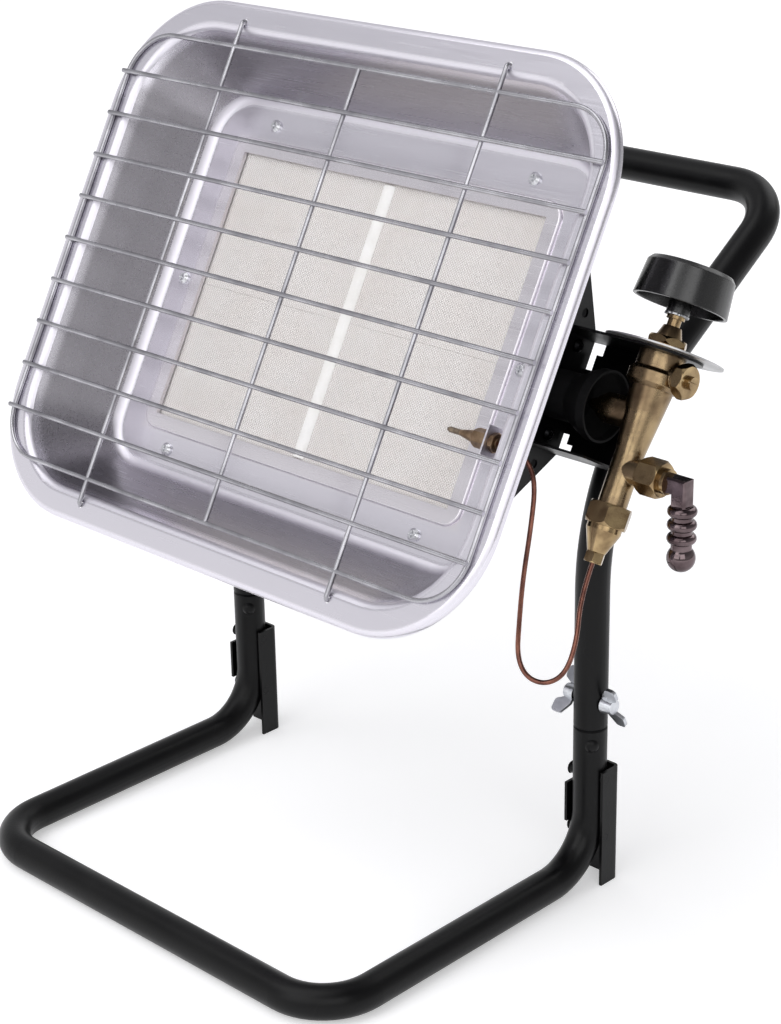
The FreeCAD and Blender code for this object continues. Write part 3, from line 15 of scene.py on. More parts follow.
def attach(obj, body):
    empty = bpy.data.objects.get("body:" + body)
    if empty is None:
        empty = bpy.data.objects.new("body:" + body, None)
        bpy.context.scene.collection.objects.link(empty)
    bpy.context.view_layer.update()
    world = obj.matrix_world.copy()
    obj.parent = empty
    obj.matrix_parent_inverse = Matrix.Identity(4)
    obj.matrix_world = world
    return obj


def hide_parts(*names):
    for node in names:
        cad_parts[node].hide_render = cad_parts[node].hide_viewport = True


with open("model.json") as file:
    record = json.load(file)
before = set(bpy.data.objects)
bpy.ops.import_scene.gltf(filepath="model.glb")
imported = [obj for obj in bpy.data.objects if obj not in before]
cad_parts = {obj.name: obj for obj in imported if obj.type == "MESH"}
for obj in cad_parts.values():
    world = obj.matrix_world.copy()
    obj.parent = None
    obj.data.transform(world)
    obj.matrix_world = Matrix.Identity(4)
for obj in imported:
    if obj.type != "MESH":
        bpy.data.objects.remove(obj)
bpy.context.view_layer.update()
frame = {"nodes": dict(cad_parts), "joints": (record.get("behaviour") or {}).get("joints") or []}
LOG = logging.getLogger("heater")
JOINTS = {joint["name"]: joint for joint in frame["joints"]}

Colour = tuple[float, float, float, float]
Point = tuple[float, float, float]
Range = tuple[float, float]
Tree = bpy.types.NodeTree
Socket = bpy.types.NodeSocket

METRES_PER_MM = 0.001
# A noise stays near its middle, so tone and polish are spread over this part of its range.
NOISE_SPAN: Range = (0.3, 0.7)
# Rays that look round a worn edge.
EDGE_SAMPLES = 4


class Detail(Enum):
    """Octaves of a noise: the more of them, the finer its smallest marks."""

    SWELL = 1.0
    GRAIN = 2.0
    CLOUD = 4.0
    STAIN = 5.0


@dataclass(frozen=True)
class Axes:
    """Frame that a pattern or a route is measured in.

    Attributes:
        origin: Place of its zero point, in metres.
        tilt: Turn about X that leans its Z axis back, in radians.
    """

    origin: Point
    tilt: float = 0.0

    def place(self, points: np.ndarray) -> np.ndarray:
        """Turn points about X by the tilt and move them to the origin.

        Args:
            points: Array of shape (n, 3) in this frame, in metres.

        Returns:
            The same points in the shared frame, in metres.
        """
        c, s = math.cos(self.tilt), math.sin(self.tilt)
        turn = np.array([[1.0, 0.0, 0.0], [0.0, c, s], [0.0, -s, c]])
        return points @ turn.T + np.array(self.origin)


def tilt_of_head() -> float:
    """Lean of the head at rest, from the knob's axis."""
    _, rear, up = JOINTS["knob_turn"]["axis"]
    return math.atan2(rear, up)


PIVOT = JOINTS["head_tilt"]["pos_m"]
WING = JOINTS["right_wing_turn"]["pos_m"]
KNOB = JOINTS["knob_turn"]["pos_m"]
STAND_AXES = Axes((PIVOT[0], WING[1], 0.0))
HEAD_AXES = Axes(tuple(PIVOT), tilt_of_head())
VALVE_AXES = Axes(tuple(KNOB), tilt_of_head())


def linear(code: str) -> Colour:
    """Turn an sRGB hex colour into linear light.

    Args:
        code: A hash and six hex digits.

    Returns:
        Linear red, green and blue, and an alpha of 1.
    """
    shown = np.array([int(code[i:i + 2], 16) for i in (1, 3, 5)]) / 255
    # The sRGB curve: straight near black, and a power of 2.4 above it.
    light = np.where(shown <= 0.04045, shown / 12.92, ((shown + 0.055) / 1.055) ** 2.4)
    return (*light.tolist(), 1.0)


def add(tree: Tree, kind: str, links: Mapping[Any, Socket] | None = None,
        values: Mapping[Any, Any] | None = None, ramp: Sequence[tuple[float, str]] = (),
        **settings: Any) -> bpy.types.Node:
    """Add one shader node with its settings and links.

    Args:
        tree: Node tree to add to.
        kind: Blender's name of the node, without its ShaderNode prefix.
        links: Sockets to join to inputs, by input name or number.
        values: Fixed input values, by input name or number.
        ramp: Stops of a colour ramp, as position and sRGB hex colour.
        settings: Properties of the node itself.

    Returns:
        The new node.
    """
    node = tree.nodes.new("ShaderNode" + kind)
    for name, value in settings.items():
        setattr(node, name, value)
    for key, value in (values or {}).items():
        node.inputs[key].default_value = value
    for key, socket in (links or {}).items():
        tree.links.new(socket, node.inputs[key])
    for index, (position, code) in enumerate(ramp):
        stops = node.color_ramp.elements
        stop = stops[index] if index < len(stops) else stops.new(position)
        stop.position = position
        stop.color = linear(code)
    return node


def millimetres(tree: Tree, axes: Axes) -> Socket:
    """Object coordinates in one frame, in millimetres.

    Args:
        tree: Node tree to add to.
        axes: Frame to measure in.

    Returns:
        Vector socket of the point in that frame.
    """
    here = add(tree, "TexCoord").outputs["Object"]
    place = {"Location": axes.origin, "Rotation": (-axes.tilt, 0.0, 0.0), "Scale": (METRES_PER_MM,) * 3}
    return add(tree, "Mapping", {"Vector": here}, place, vector_type="TEXTURE").outputs["Vector"]


def surface(name: str) -> tuple[bpy.types.Material, Tree]:
    """Make an empty node material.

    Args:
        name: Material name.

    Returns:
        The material and its node tree, with no nodes in it.
    """
    material = bpy.data.materials.new(name)
    material.use_nodes = True
    tree = material.node_tree
    tree.nodes.clear()
    return material, tree


def show(tree: Tree, shader: bpy.types.Node) -> None:
    """Join a shader to a new material output."""
    add(tree, "OutputMaterial", {"Surface": shader.outputs[0]})


class Finish(Protocol):
    """Anything that can make a material."""

    def material(self) -> bpy.types.Material:
        """Make the material."""


@dataclass(frozen=True)
class PowderCoat:
    """Satin black polyester powder, baked on steel: soft sheen, faint orange peel, a few rubbed lines.

    Attributes:
        name: Material name, for the coat and what it is on.
        axes: Frame of the pattern.
        dark: Tone of the darker clouds.
        light: Tone of the lighter clouds.
        rubbed: Tone of the rubbed lines.
        rough: Roughness of the darker and the lighter clouds.
        gloss: Specular level of the coat.
        cloud_mm: Size of the clouds.
        peel_mm: Width of the orange peel.
        peel_depth: Height of the orange peel, in metres.
        scuff_mm: Distance between rubbed lines.
        scuff_bends: Bends of a line over that distance.
        wander_mm: How far a bend pushes a line aside.
        line: Distances from a line's middle where its tone is full and gone, as shares of scuff_mm.
        rub: Strength of the lines' tone.
        rubbed_clouds: Cloud values between which the lines come in, so that most of the coat has none.
    """

    name: str
    axes: Axes
    dark: str = "#050506"
    light: str = "#0a0a0b"
    rubbed: str = "#2a2a2c"
    rough: Range = (0.3, 0.42)
    gloss: float = 0.2
    cloud_mm: float = 30.0
    # Real orange peel is under a millimetre wide; drawn coarser to show.
    peel_mm: float = 1.7
    peel_depth: float = 0.00005
    scuff_mm: float = 42.0
    scuff_bends: float = 2.4
    wander_mm: float = 22.0
    line: Range = (0.003, 0.01)
    rub: float = 0.16
    rubbed_clouds: Range = (0.55, 0.66)

    def material(self) -> bpy.types.Material:
        """Clouded black with rubbed hairlines over a fine bump.

        Returns:
            The material.
        """
        material, tree = surface(self.name)
        mm = millimetres(tree, self.axes)
        cloud = add(tree, "TexNoise", {"Vector": mm},
                    {"Scale": 1 / self.cloud_mm, "Detail": Detail.CLOUD.value}).outputs["Fac"]
        least, most = NOISE_SPAN
        tone = add(tree, "ValToRGB", {"Fac": cloud},
                   ramp=((least, self.dark), (most, self.light))).outputs["Color"]
        worn = self.rubbed_lines(tree, mm, cloud)
        colour = add(tree, "Mix", {0: worn, 6: tone}, {7: linear(self.rubbed)}, data_type="RGBA").outputs[2]
        low, high = self.rough
        rough = add(tree, "MapRange", {"Value": cloud},
                    {"From Min": least, "From Max": most, "To Min": low, "To Max": high}).outputs[0]
        peel = add(tree, "TexNoise", {"Vector": mm},
                   {"Scale": 1 / self.peel_mm, "Detail": Detail.SWELL.value}).outputs["Fac"]
        bump = add(tree, "Bump", {"Height": peel}, {"Distance": self.peel_depth}).outputs[0]
        show(tree, add(tree, "BsdfPrincipled", {"Base Color": colour, "Roughness": rough, "Normal": bump},
                       {"Specular IOR Level": self.gloss}))
        return material

    def rubbed_lines(self, tree: Tree, mm: Socket, cloud: Socket) -> Socket:
        """Hairlines along the edges of bent cells, kept to the lightest clouds.

        Args:
            tree: Node tree to add to.
            mm: Point in millimetres.
            cloud: Noise of the clouds.

        Returns:
            Socket with the share of the rubbed tone.
        """
        bent = add(tree, "TexNoise", {"Vector": mm},
                   {"Scale": self.scuff_bends / self.scuff_mm, "Detail": Detail.GRAIN.value}).outputs["Color"]
        wander = add(tree, "VectorMath", {0: bent}, {3: self.wander_mm}, operation="SCALE").outputs[0]
        path = add(tree, "VectorMath", {0: mm, 1: wander}, operation="ADD").outputs[0]
        lines = add(tree, "TexVoronoi", {"Vector": path}, {"Scale": 1 / self.scuff_mm},
                    feature="DISTANCE_TO_EDGE").outputs["Distance"]
        full, gone = self.line
        thin = add(tree, "MapRange", {"Value": lines},
                   {"From Min": full, "From Max": gone, "To Min": self.rub, "To Max": 0.0}).outputs[0]
        first, last = self.rubbed_clouds
        seldom = add(tree, "MapRange", {"Value": cloud}, {"From Min": first, "From Max": last}).outputs[0]
        return add(tree, "Math", {0: thin, 1: seldom}, operation="MULTIPLY").outputs[0]


@dataclass(frozen=True)
class PressedSteel:
    """Bright cold-rolled sheet drawn into a pan: pale rim and flange, painted shade greying the walls, dulled
    by the ceramic.

    Attributes:
        name: Material name.
        axes: Frame of the pattern.
        bright: Tone of rim and flange.
        wall: Painted shade on the sloping walls: a greyer tone that stands for their darker reflections.
        heated: Tone beside the hot ceramic.
        rim_y: Depths behind the pivot, in millimetres, over which the rim's bend turns into the wall.
        foot_y: Depths behind the pivot, in millimetres, over which the wall's foot turns into the flange.
        ceramic_mm: Half width and half height of the ceramic.
        dulled_mm: Distances past the ceramic where the dulled zone begins to fade and ends.
        rough: Roughness of the rolled sheet.
        wall_rough: Roughness that drawing over the die adds to the walls.
        bend_rough: Roughness that stretching adds to the bends.
        bend_from: Cosines of the slope to the face over which a bend leaves the wall.
        bend_to: Cosines of the slope to the face over which a bend meets the flat.
        line_mm: Distance between rolling lines.
        line_length_mm: Length of a rolling line.
        line_span: Part of the lines' noise that the roughness is spread over.
        line_depth: Height of the rolling lines, in metres.
        wave_mm: Width of the sheet's waves.
        wave_depth: Height of the sheet's waves, in metres.
    """

    name: str = "bright_pressed_steel"
    axes: Axes = HEAD_AXES
    bright: str = "#e0dde5"
    # Painted shade: the walls' greyer tone stands for their darker reflections.
    wall: str = "#a5a2a8"
    heated: str = "#e4e0e5"
    rim_y: Range = (-156.0, -150.0)
    foot_y: Range = (-112.0, -105.0)
    ceramic_mm: Range = (132.0, 92.0)
    dulled_mm: Range = (6.0, 13.0)
    rough: Range = (0.2, 0.28)
    wall_rough: float = 0.05
    bend_rough: float = 0.2
    bend_from: Range = (0.5, 0.62)
    bend_to: Range = (0.94, 0.995)
    # Rolling lines are a tenth of a millimetre apart; drawn coarser to show.
    line_mm: float = 0.7
    line_length_mm: float = 50.0
    line_span: Range = (0.25, 0.75)
    line_depth: float = 0.000002
    wave_mm: float = 90.0
    wave_depth: float = 0.0005

    def material(self) -> bpy.types.Material:
        """Metal whose polish follows the pressing's form and whose tone carries painted shade on the walls,
        with rolling lines and shallow waves.

        Returns:
            The material.
        """
        material, tree = surface(self.name)
        mm = millimetres(tree, self.axes)
        across, depth, height = add(tree, "SeparateXYZ", {"Vector": mm}).outputs
        inside = self.walls(tree, depth)
        # Painted shade: the walls take a greyer tone than rim and flange, for their darker reflections.
        tone = add(tree, "ValToRGB", {"Fac": inside},
                   ramp=((0.0, self.bright), (1.0, self.wall))).outputs["Color"]
        hot = self.dulled(tree, across, height)
        colour = add(tree, "Mix", {0: hot, 6: tone}, {7: linear(self.heated)}, data_type="RGBA").outputs[2]
        wave = add(tree, "TexNoise", {"Vector": mm},
                   {"Scale": 1 / self.wave_mm, "Detail": Detail.SWELL.value}).outputs["Fac"]
        fine = 1 / self.line_mm
        stretch = add(tree, "Mapping", {"Vector": mm},
                      {"Scale": (1 / self.line_length_mm, fine, fine)}).outputs[0]
        lines = add(tree, "TexNoise", {"Vector": stretch},
                    {"Scale": 1.0, "Detail": Detail.GRAIN.value}).outputs["Fac"]
        rough = self.polish(tree, inside, lines)
        swell = add(tree, "Bump", {"Height": wave}, {"Distance": self.wave_depth}).outputs[0]
        bump = add(tree, "Bump", {"Height": lines, "Normal": swell},
                   {"Distance": self.line_depth}).outputs[0]
        show(tree, add(tree, "BsdfPrincipled", {"Base Color": colour, "Roughness": rough, "Normal": bump},
                       {"Metallic": 1.0}))
        return material

    def walls(self, tree: Tree, depth: Socket) -> Socket:
        """Mask of the sloping walls, which take painted shade, by depth between the rim's bend and the wall's
        foot.

        Args:
            tree: Node tree to add to.
            depth: Depth behind the pivot, in millimetres.

        Returns:
            Socket that is 1 on the walls, and 0 on rim and flange.
        """
        into = add(tree, "MapRange", {"Value": depth},
                   {"From Min": self.rim_y[0], "From Max": self.rim_y[1]},
                   interpolation_type="SMOOTHSTEP").outputs[0]
        out = add(tree, "MapRange", {"Value": depth},
                  {"From Min": self.foot_y[0], "From Max": self.foot_y[1], "To Min": 1.0, "To Max": 0.0},
                  interpolation_type="SMOOTHSTEP").outputs[0]
        return add(tree, "Math", {0: into, 1: out}, operation="MULTIPLY").outputs[0]

    def dulled(self, tree: Tree, across: Socket, height: Socket) -> Socket:
        """Mask of the sheet beside the ceramic, by the larger of the distances past its sides.

        Args:
            tree: Node tree to add to.
            across: Distance right of the head's middle, in millimetres.
            height: Height above the head's middle, in millimetres.

        Returns:
            Socket that is 1 at the ceramic, and 0 away from it.
        """
        past = []
        for side, half in zip((across, height), self.ceramic_mm):
            away = add(tree, "Math", {0: side}, operation="ABSOLUTE").outputs[0]
            past.append(add(tree, "Math", {0: away}, {1: half}, operation="SUBTRACT").outputs[0])
        beside = add(tree, "Math", dict(enumerate(past)), operation="MAXIMUM").outputs[0]
        near, far = self.dulled_mm
        return add(tree, "MapRange", {"Value": beside},
                   {"From Min": near, "From Max": far, "To Min": 1.0, "To Max": 0.0},
                   interpolation_type="SMOOTHSTEP").outputs[0]

    def polish(self, tree: Tree, inside: Socket, lines: Socket) -> Socket:
        """Roughness of the rolling lines, with what drawing adds to the walls and stretching to the bends.

        A bend is where the surface slopes to the reflector's face more than the flat and less than the wall.

        Args:
            tree: Node tree to add to.
            inside: Mask of the walls.
            lines: Noise of the rolling lines.

        Returns:
            Socket with the roughness.
        """
        low, high = self.rough
        least, most = self.line_span
        rolled = add(tree, "MapRange", {"Value": lines},
                     {"From Min": least, "From Max": most, "To Min": low, "To Max": high}).outputs[0]
        drawn = add(tree, "Math", {0: inside, 2: rolled}, {1: self.wall_rough},
                    operation="MULTIPLY_ADD").outputs[0]
        normal = add(tree, "TexCoord").outputs["Normal"]
        face = (0.0, -math.cos(self.axes.tilt), math.sin(self.axes.tilt))
        slope = add(tree, "VectorMath", {0: normal}, {1: face}, operation="DOT_PRODUCT").outputs["Value"]
        steep = add(tree, "MapRange", {"Value": slope},
                    {"From Min": self.bend_from[0], "From Max": self.bend_from[1]},
                    interpolation_type="SMOOTHSTEP").outputs[0]
        level = add(tree, "MapRange", {"Value": slope},
                    {"From Min": self.bend_to[0], "From Max": self.bend_to[1],
                     "To Min": self.bend_rough, "To Max": 0.0},
                    interpolation_type="SMOOTHSTEP").outputs[0]
        return add(tree, "Math", {0: steep, 1: level, 2: drawn}, operation="MULTIPLY_ADD").outputs[0]


@dataclass(frozen=True)
class WorkedMetal:
    """Metal with clouded tone and polish over a fine machined or cast grain.

    Attributes:
        name: Material name, for the metal and how it was worked.
        axes: Frame of the grain.
        dark: Tone of the duller patches.
        light: Tone of the brighter patches.
        rough: Roughness of the bright and the dull patches.
        cloud_mm: Size of the patches.
        grain_mm: Size of the grain along X, Y and Z.
        grain_depth: Height of the grain, in metres.
        edge: Radius of the worn edges, in metres.
        tone_span: Part of the patches' noise that the tones are spread over.
    """

    name: str
    axes: Axes
    dark: str
    light: str
    rough: Range
    cloud_mm: float = 14.0
    # Tool marks and casting skin are near a tenth of a millimetre; drawn coarser to show.
    grain_mm: Point = (1.2, 1.2, 1.2)
    grain_depth: float = 0.00004
    edge: float = 0.0004
    tone_span: Range = (0.3, 0.68)

    def material(self) -> bpy.types.Material:
        """Clouded metal with its grain as bump and rounded edges.

        Returns:
            The material.
        """
        material, tree = surface(self.name)
        mm = millimetres(tree, self.axes)
        cloud = add(tree, "TexNoise", {"Vector": mm},
                    {"Scale": 1 / self.cloud_mm, "Detail": Detail.STAIN.value}).outputs["Fac"]
        dull, clear = self.tone_span
        colour = add(tree, "ValToRGB", {"Fac": cloud},
                     ramp=((dull, self.dark), (clear, self.light))).outputs["Color"]
        low, high = self.rough
        least, most = NOISE_SPAN
        rough = add(tree, "MapRange", {"Value": cloud},
                    {"From Min": least, "From Max": most, "To Min": high, "To Max": low}).outputs[0]
        fine = add(tree, "Mapping", {"Vector": mm},
                   {"Scale": tuple(1 / size for size in self.grain_mm)}).outputs[0]
        grain = add(tree, "TexNoise", {"Vector": fine},
                    {"Scale": 1.0, "Detail": Detail.GRAIN.value}).outputs["Fac"]
        eased = add(tree, "Bevel", values={"Radius": self.edge}, samples=EDGE_SAMPLES).outputs[0]
        bump = add(tree, "Bump", {"Height": grain, "Normal": eased},
                   {"Distance": self.grain_depth}).outputs[0]
        show(tree, add(tree, "BsdfPrincipled", {"Base Color": colour, "Roughness": rough, "Normal": bump},
                       {"Metallic": 1.0}))
        return material


@dataclass(frozen=True)
class PerforatedCeramic:
    """Cream cordierite plaque, pressed with staggered flame holes: matt, dotted with painted shade in the
    holes, a little warm in places.

    Attributes:
        name: Material name.
        axes: Frame of the pattern.
        body: Tone of the ceramic.
        warm: Tone of the warmer clouds.
        hole: Painted shade inside the holes, which are drawn only as bumps.
        pitch_mm: Distance between holes in a row.
        hole_mm: Width of a hole.
        hole_edge: Shares of a hole's radius where its tone begins to fade and ends.
        hole_depth: Depth that the holes' bump shows, in metres.
        cloud_mm: Size of the clouds.
        tone_span: Part of the clouds' noise that the tones are spread over.
        grit_mm: Size of the grit.
        grit_depth: Height of the grit, in metres.
        rough: Roughness range over the grit.
    """

    name: str = "perforated_cordierite"
    axes: Axes = HEAD_AXES
    body: str = "#f8f5f4"
    warm: str = "#f3edea"
    # Painted shade for the inside of the holes.
    hole: str = "#e1dad5"
    # Flame holes are 1.2 mm at 1.7 mm; drawn wider apart so that the rows show.
    pitch_mm: float = 2.1
    hole_mm: float = 1.05
    hole_edge: Range = (0.7, 1.2)
    hole_depth: float = 0.0005
    cloud_mm: float = 34.0
    tone_span: Range = (0.35, 0.75)
    grit_mm: float = 0.6
    grit_depth: float = 0.00006
    rough: Range = (0.78, 0.95)

    def material(self) -> bpy.types.Material:
        """Matt body with rows of sunken holes, darkened with painted shade, over a fine grit.

        Returns:
            The material.
        """
        material, tree = surface(self.name)
        mm = millimetres(tree, self.axes)
        hole = self.holes(tree, mm)
        cloud = add(tree, "TexNoise", {"Vector": mm},
                    {"Scale": 1 / self.cloud_mm, "Detail": Detail.CLOUD.value}).outputs["Fac"]
        plain, tinted = self.tone_span
        tone = add(tree, "ValToRGB", {"Fac": cloud},
                   ramp=((plain, self.body), (tinted, self.warm))).outputs["Color"]
        # Painted shade: the holes take a darker tone, for the shade down in them.
        colour = add(tree, "Mix", {0: hole, 6: tone}, {7: linear(self.hole)}, data_type="RGBA").outputs[2]
        grit = add(tree, "TexNoise", {"Vector": mm},
                   {"Scale": 1 / self.grit_mm, "Detail": Detail.GRAIN.value}).outputs["Fac"]
        low, high = self.rough
        rough = add(tree, "MapRange", {"Value": grit}, {"To Min": low, "To Max": high}).outputs[0]
        sand = add(tree, "Bump", {"Height": grit}, {"Distance": self.grit_depth}).outputs[0]
        sunk = add(tree, "Bump", {"Height": hole, "Normal": sand}, {"Distance": self.hole_depth},
                   invert=True).outputs[0]
        show(tree, add(tree, "BsdfPrincipled", {"Base Color": colour, "Roughness": rough, "Normal": sunk}))
        return material

    def holes(self, tree: Tree, mm: Socket) -> Socket:
        """Round holes in staggered rows: one at each point of a square grid turned by 45 degrees.

        Args:
            tree: Node tree to add to.
            mm: Point in millimetres.

        Returns:
            Socket that is 1 in the holes, and 0 between them.
        """
        face = add(tree, "Mapping", {"Vector": mm}, {"Rotation": (-math.pi / 2, 0.0, 0.0)}).outputs[0]
        step = 1 / (self.pitch_mm / math.sqrt(2))
        turned = add(tree, "Mapping", {"Vector": face},
                     {"Rotation": (0.0, 0.0, math.pi / 4), "Scale": (step, step, step)}).outputs[0]
        cell = add(tree, "TexVoronoi", {"Vector": turned}, {"Scale": 1.0, "Randomness": 0.0},
                   voronoi_dimensions="2D").outputs["Distance"]
        radius = self.hole_mm / 2 * step
        inner, outer = self.hole_edge
        return add(tree, "MapRange", {"Value": cell},
                   {"From Min": radius * inner, "From Max": radius * outer,
                    "To Min": 1.0, "To Max": 0.0}).outputs[0]


@dataclass(frozen=True)
class Rough:
    """Matt non-metal with a grainy surface, such as cement, fibre board or moulded plastic.

    Attributes:
        name: Material name, for the real material.
        axes: Frame of the grain.
        dark: Tone of the darker clouds.
        light: Tone of the lighter clouds.
        rough: Roughness range over the grain.
        cloud_mm: Size of the clouds.
        grain_mm: Size of the grain.
        grain_depth: Height of the grain, in metres.
        edge: Radius of the moulded edges, in metres.
        gloss: Specular level of the surface.
    """

    name: str
    axes: Axes
    dark: str
    light: str
    rough: Range
    cloud_mm: float
    grain_mm: float
    grain_depth: float
    edge: float = 0.0003
    gloss: float = 0.5

    def material(self) -> bpy.types.Material:
        """Clouded tone over a fine grain.

        Returns:
            The material.
        """
        material, tree = surface(self.name)
        mm = millimetres(tree, self.axes)
        cloud = add(tree, "TexNoise", {"Vector": mm},
                    {"Scale": 1 / self.cloud_mm, "Detail": Detail.CLOUD.value}).outputs["Fac"]
        least, most = NOISE_SPAN
        colour = add(tree, "ValToRGB", {"Fac": cloud},
                     ramp=((least, self.dark), (most, self.light))).outputs["Color"]
        grain = add(tree, "TexNoise", {"Vector": mm},
                    {"Scale": 1 / self.grain_mm, "Detail": Detail.GRAIN.value}).outputs["Fac"]
        low, high = self.rough
        rough = add(tree, "MapRange", {"Value": grain},
                    {"From Min": least, "From Max": most, "To Min": low, "To Max": high}).outputs[0]
        eased = add(tree, "Bevel", values={"Radius": self.edge}, samples=EDGE_SAMPLES).outputs[0]
        bump = add(tree, "Bump", {"Height": grain, "Normal": eased},
                   {"Distance": self.grain_depth}).outputs[0]
        show(tree, add(tree, "BsdfPrincipled", {"Base Color": colour, "Roughness": rough, "Normal": bump},
                       {"Specular IOR Level": self.gloss}))
        return material


@dataclass(frozen=True)
class SpangledSteel:
    """Hot-dip aluminised sheet: flat grey crystals a few millimetres wide, each with its own polish.

    Attributes:
        name: Material name.
        axes: Frame of the pattern.
        dark: Tone of the darkest crystals.
        light: Tone of the palest crystals.
        rough: Roughness of the darkest and the palest crystals.
        crystal_mm: Size of a crystal.
        grain_per_mm: Grains of the skin in a millimetre.
        grain_depth: Height of the skin's grain, in metres.
    """

    name: str = "aluminised_steel"
    axes: Axes = HEAD_AXES
    dark: str = "#9fa0a3"
    light: str = "#bcbdc1"
    rough: Range = (0.34, 0.5)
    crystal_mm: float = 7.0
    grain_per_mm: float = 0.6
    grain_depth: float = 0.00004

    def material(self) -> bpy.types.Material:
        """Cells of differing tone and roughness.

        Returns:
            The material.
        """
        material, tree = surface(self.name)
        mm = millimetres(tree, self.axes)
        cells = add(tree, "TexVoronoi", {"Vector": mm}, {"Scale": 1 / self.crystal_mm}).outputs["Color"]
        tone = add(tree, "SeparateColor", {"Color": cells}).outputs["Red"]
        colour = add(tree, "ValToRGB", {"Fac": tone},
                     ramp=((0.0, self.dark), (1.0, self.light))).outputs["Color"]
        low, high = self.rough
        rough = add(tree, "MapRange", {"Value": tone}, {"To Min": low, "To Max": high}).outputs[0]
        grain = add(tree, "TexNoise", {"Vector": mm},
                    {"Scale": self.grain_per_mm, "Detail": Detail.GRAIN.value}).outputs["Fac"]
        bump = add(tree, "Bump", {"Height": grain}, {"Distance": self.grain_depth}).outputs[0]
        show(tree, add(tree, "BsdfPrincipled", {"Base Color": colour, "Roughness": rough, "Normal": bump},
                       {"Metallic": 1.0}))
        return material


def dress(nodes: Iterable[str], finish: Finish) -> None:
    """Give CAD nodes one finish.

    Args:
        nodes: Names of the nodes.
        finish: Finish whose material they all share.
    """
    material = finish.material()
    for name in nodes:
        slots = frame["nodes"][name].data.materials
        slots.clear()
        slots.append(material)
        LOG.info("%s: %s", name, material.name)


@dataclass
class Stand:
    """Bent-tube floor stand with its feet, joints and wing bolts.

    Attributes:
        tubes: Nodes of bent tube.
        sheets: Folded feet, and rivets in the same coat.
        plated: Wing bolts, nuts and pivot fittings.
        bars: Spigots in the leg tops.
    """

    tubes: Sequence[str] = ("base_tube", "upper_frame")
    sheets: Sequence[str] = ("left_foot_channel", "right_foot_channel", "foot_rivets", "spigot_rivets")
    plated: Sequence[str] = ("left_wing_bolt", "right_wing_bolt", "left_wing_nut", "right_wing_nut",
                             "pivot_bolts", "pivot_bushes", "pivot_nuts")
    bars: Sequence[str] = ("left_spigot", "right_spigot")

    def dress(self) -> None:
        """Black coat on tube and sheet, bright zinc on what clamps them."""
        # Baked powder on drawn tube: deep black, a soft sheen along the bends, faint orange peel.
        dress(self.tubes, PowderCoat("powder_coated_tube", STAND_AXES))
        # The same powder on folded sheet, whose small faces show smaller clouds.
        dress(self.sheets, PowderCoat("powder_coated_sheet", STAND_AXES, cloud_mm=18.0))
        # Bright zinc on small castings: pale cool grey, clouded where hands have dulled it.
        dress(self.plated, WorkedMetal("zinc_plated_casting", STAND_AXES, "#b9bcc2", "#dfe1e5", (0.24, 0.4),
                                       cloud_mm=9.0))
        # Bare drawn bar in the leg tops: mid grey with a dull shine.
        dress(self.bars, WorkedMetal("drawn_mild_steel", STAND_AXES, "#8b8c8e", "#a6a7a9", (0.3, 0.42)))


@dataclass
class BurnerHead:
    """Reflector, guard, ceramic burner and the yoke that carries them.

    Attributes:
        plaques: Ceramic plaques of the burner.
        chamber: Gas and air chamber, and the tube that feeds it.
        black: Folded brackets in the stand's coat.
        screws: Screws of the reflector and their nuts.
    """

    plaques: Sequence[str] = ("upper_left_plaque", "upper_right_plaque", "lower_left_plaque",
                              "lower_right_plaque")
    chamber: Sequence[str] = ("plenum", "mixing_tube")
    black: Sequence[str] = ("head_yoke", "valve_bracket")
    screws: Sequence[str] = ("reflector_screws", "reflector_nuts")

    def dress(self) -> None:
        """Bright sheet and wire around matt ceramic, black coat behind."""
        # Bright drawn sheet: clear pale reflections, softened in the bends and beside the ceramic, with
        # painted shade greying the walls.
        dress(["reflector"], PressedSteel())
        # Drawn and plated wire: smooth and grey, with one thin highlight along each wire.
        dress(["grille"], WorkedMetal("bright_drawn_wire", HEAD_AXES, "#8b8a8f", "#bab9be", (0.22, 0.32),
                                      cloud_mm=22.0, grain_mm=(3.0, 3.0, 3.0), grain_depth=0.00001,
                                      edge=0.0002))
        # Pressed and fired ceramic: matt cream with fine rows of holes, darkened with painted shade.
        dress(self.plaques, PerforatedCeramic())
        # Cement laid over the seam by hand: chalk white, matt and sandy.
        dress(["cement_strip"], Rough("refractory_cement", HEAD_AXES, "#f4f2ef", "#fcfbfa", (0.8, 0.95),
                                      cloud_mm=12.0, grain_mm=1.1, grain_depth=0.00025))
        # Fibre pressed into board: soft buff, with no shine at all.
        dress(["gasket"], Rough("pressed_mineral_fibre", HEAD_AXES, "#bdb7aa", "#d6d1c6", (0.85, 0.95),
                                cloud_mm=6.0, grain_mm=0.8, grain_depth=0.0002))
        # Aluminised sheet: flat grey crystals that catch the light one by one.
        dress(["burner_frame"], SpangledSteel())
        # Silicone stove paint: greyer and more matt than the powder.
        dress(self.chamber, PowderCoat("heat_resisting_black", HEAD_AXES, "#111112", "#1a1a1b", "#2c2b2b",
                                       (0.62, 0.8)))
        # Powder on folded brackets: deep black with a soft sheen, as on the stand.
        dress(self.black, PowderCoat("powder_coated_bracket", HEAD_AXES, cloud_mm=22.0))
        # Oiled black oxide: nearly black, with a little shine on the heads.
        dress(["bracket_screws"], WorkedMetal("black_oxide_steel", HEAD_AXES, "#19191b", "#2b2b2d",
                                              (0.35, 0.5), cloud_mm=4.0))
        # Fresh zinc on screws: small bright points on the flange.
        dress(self.screws, WorkedMetal("zinc_plated_screw", HEAD_AXES, "#c4c5c9", "#e8e8eb", (0.2, 0.3),
                                       cloud_mm=6.0))
        # Bright sheet that has been hot: pale, with blurred reflections.
        dress(["thermocouple_clamp"], WorkedMetal("heat_dulled_steel", HEAD_AXES, "#c2bfc6", "#dcd9df",
                                                  (0.34, 0.46), cloud_mm=5.0))


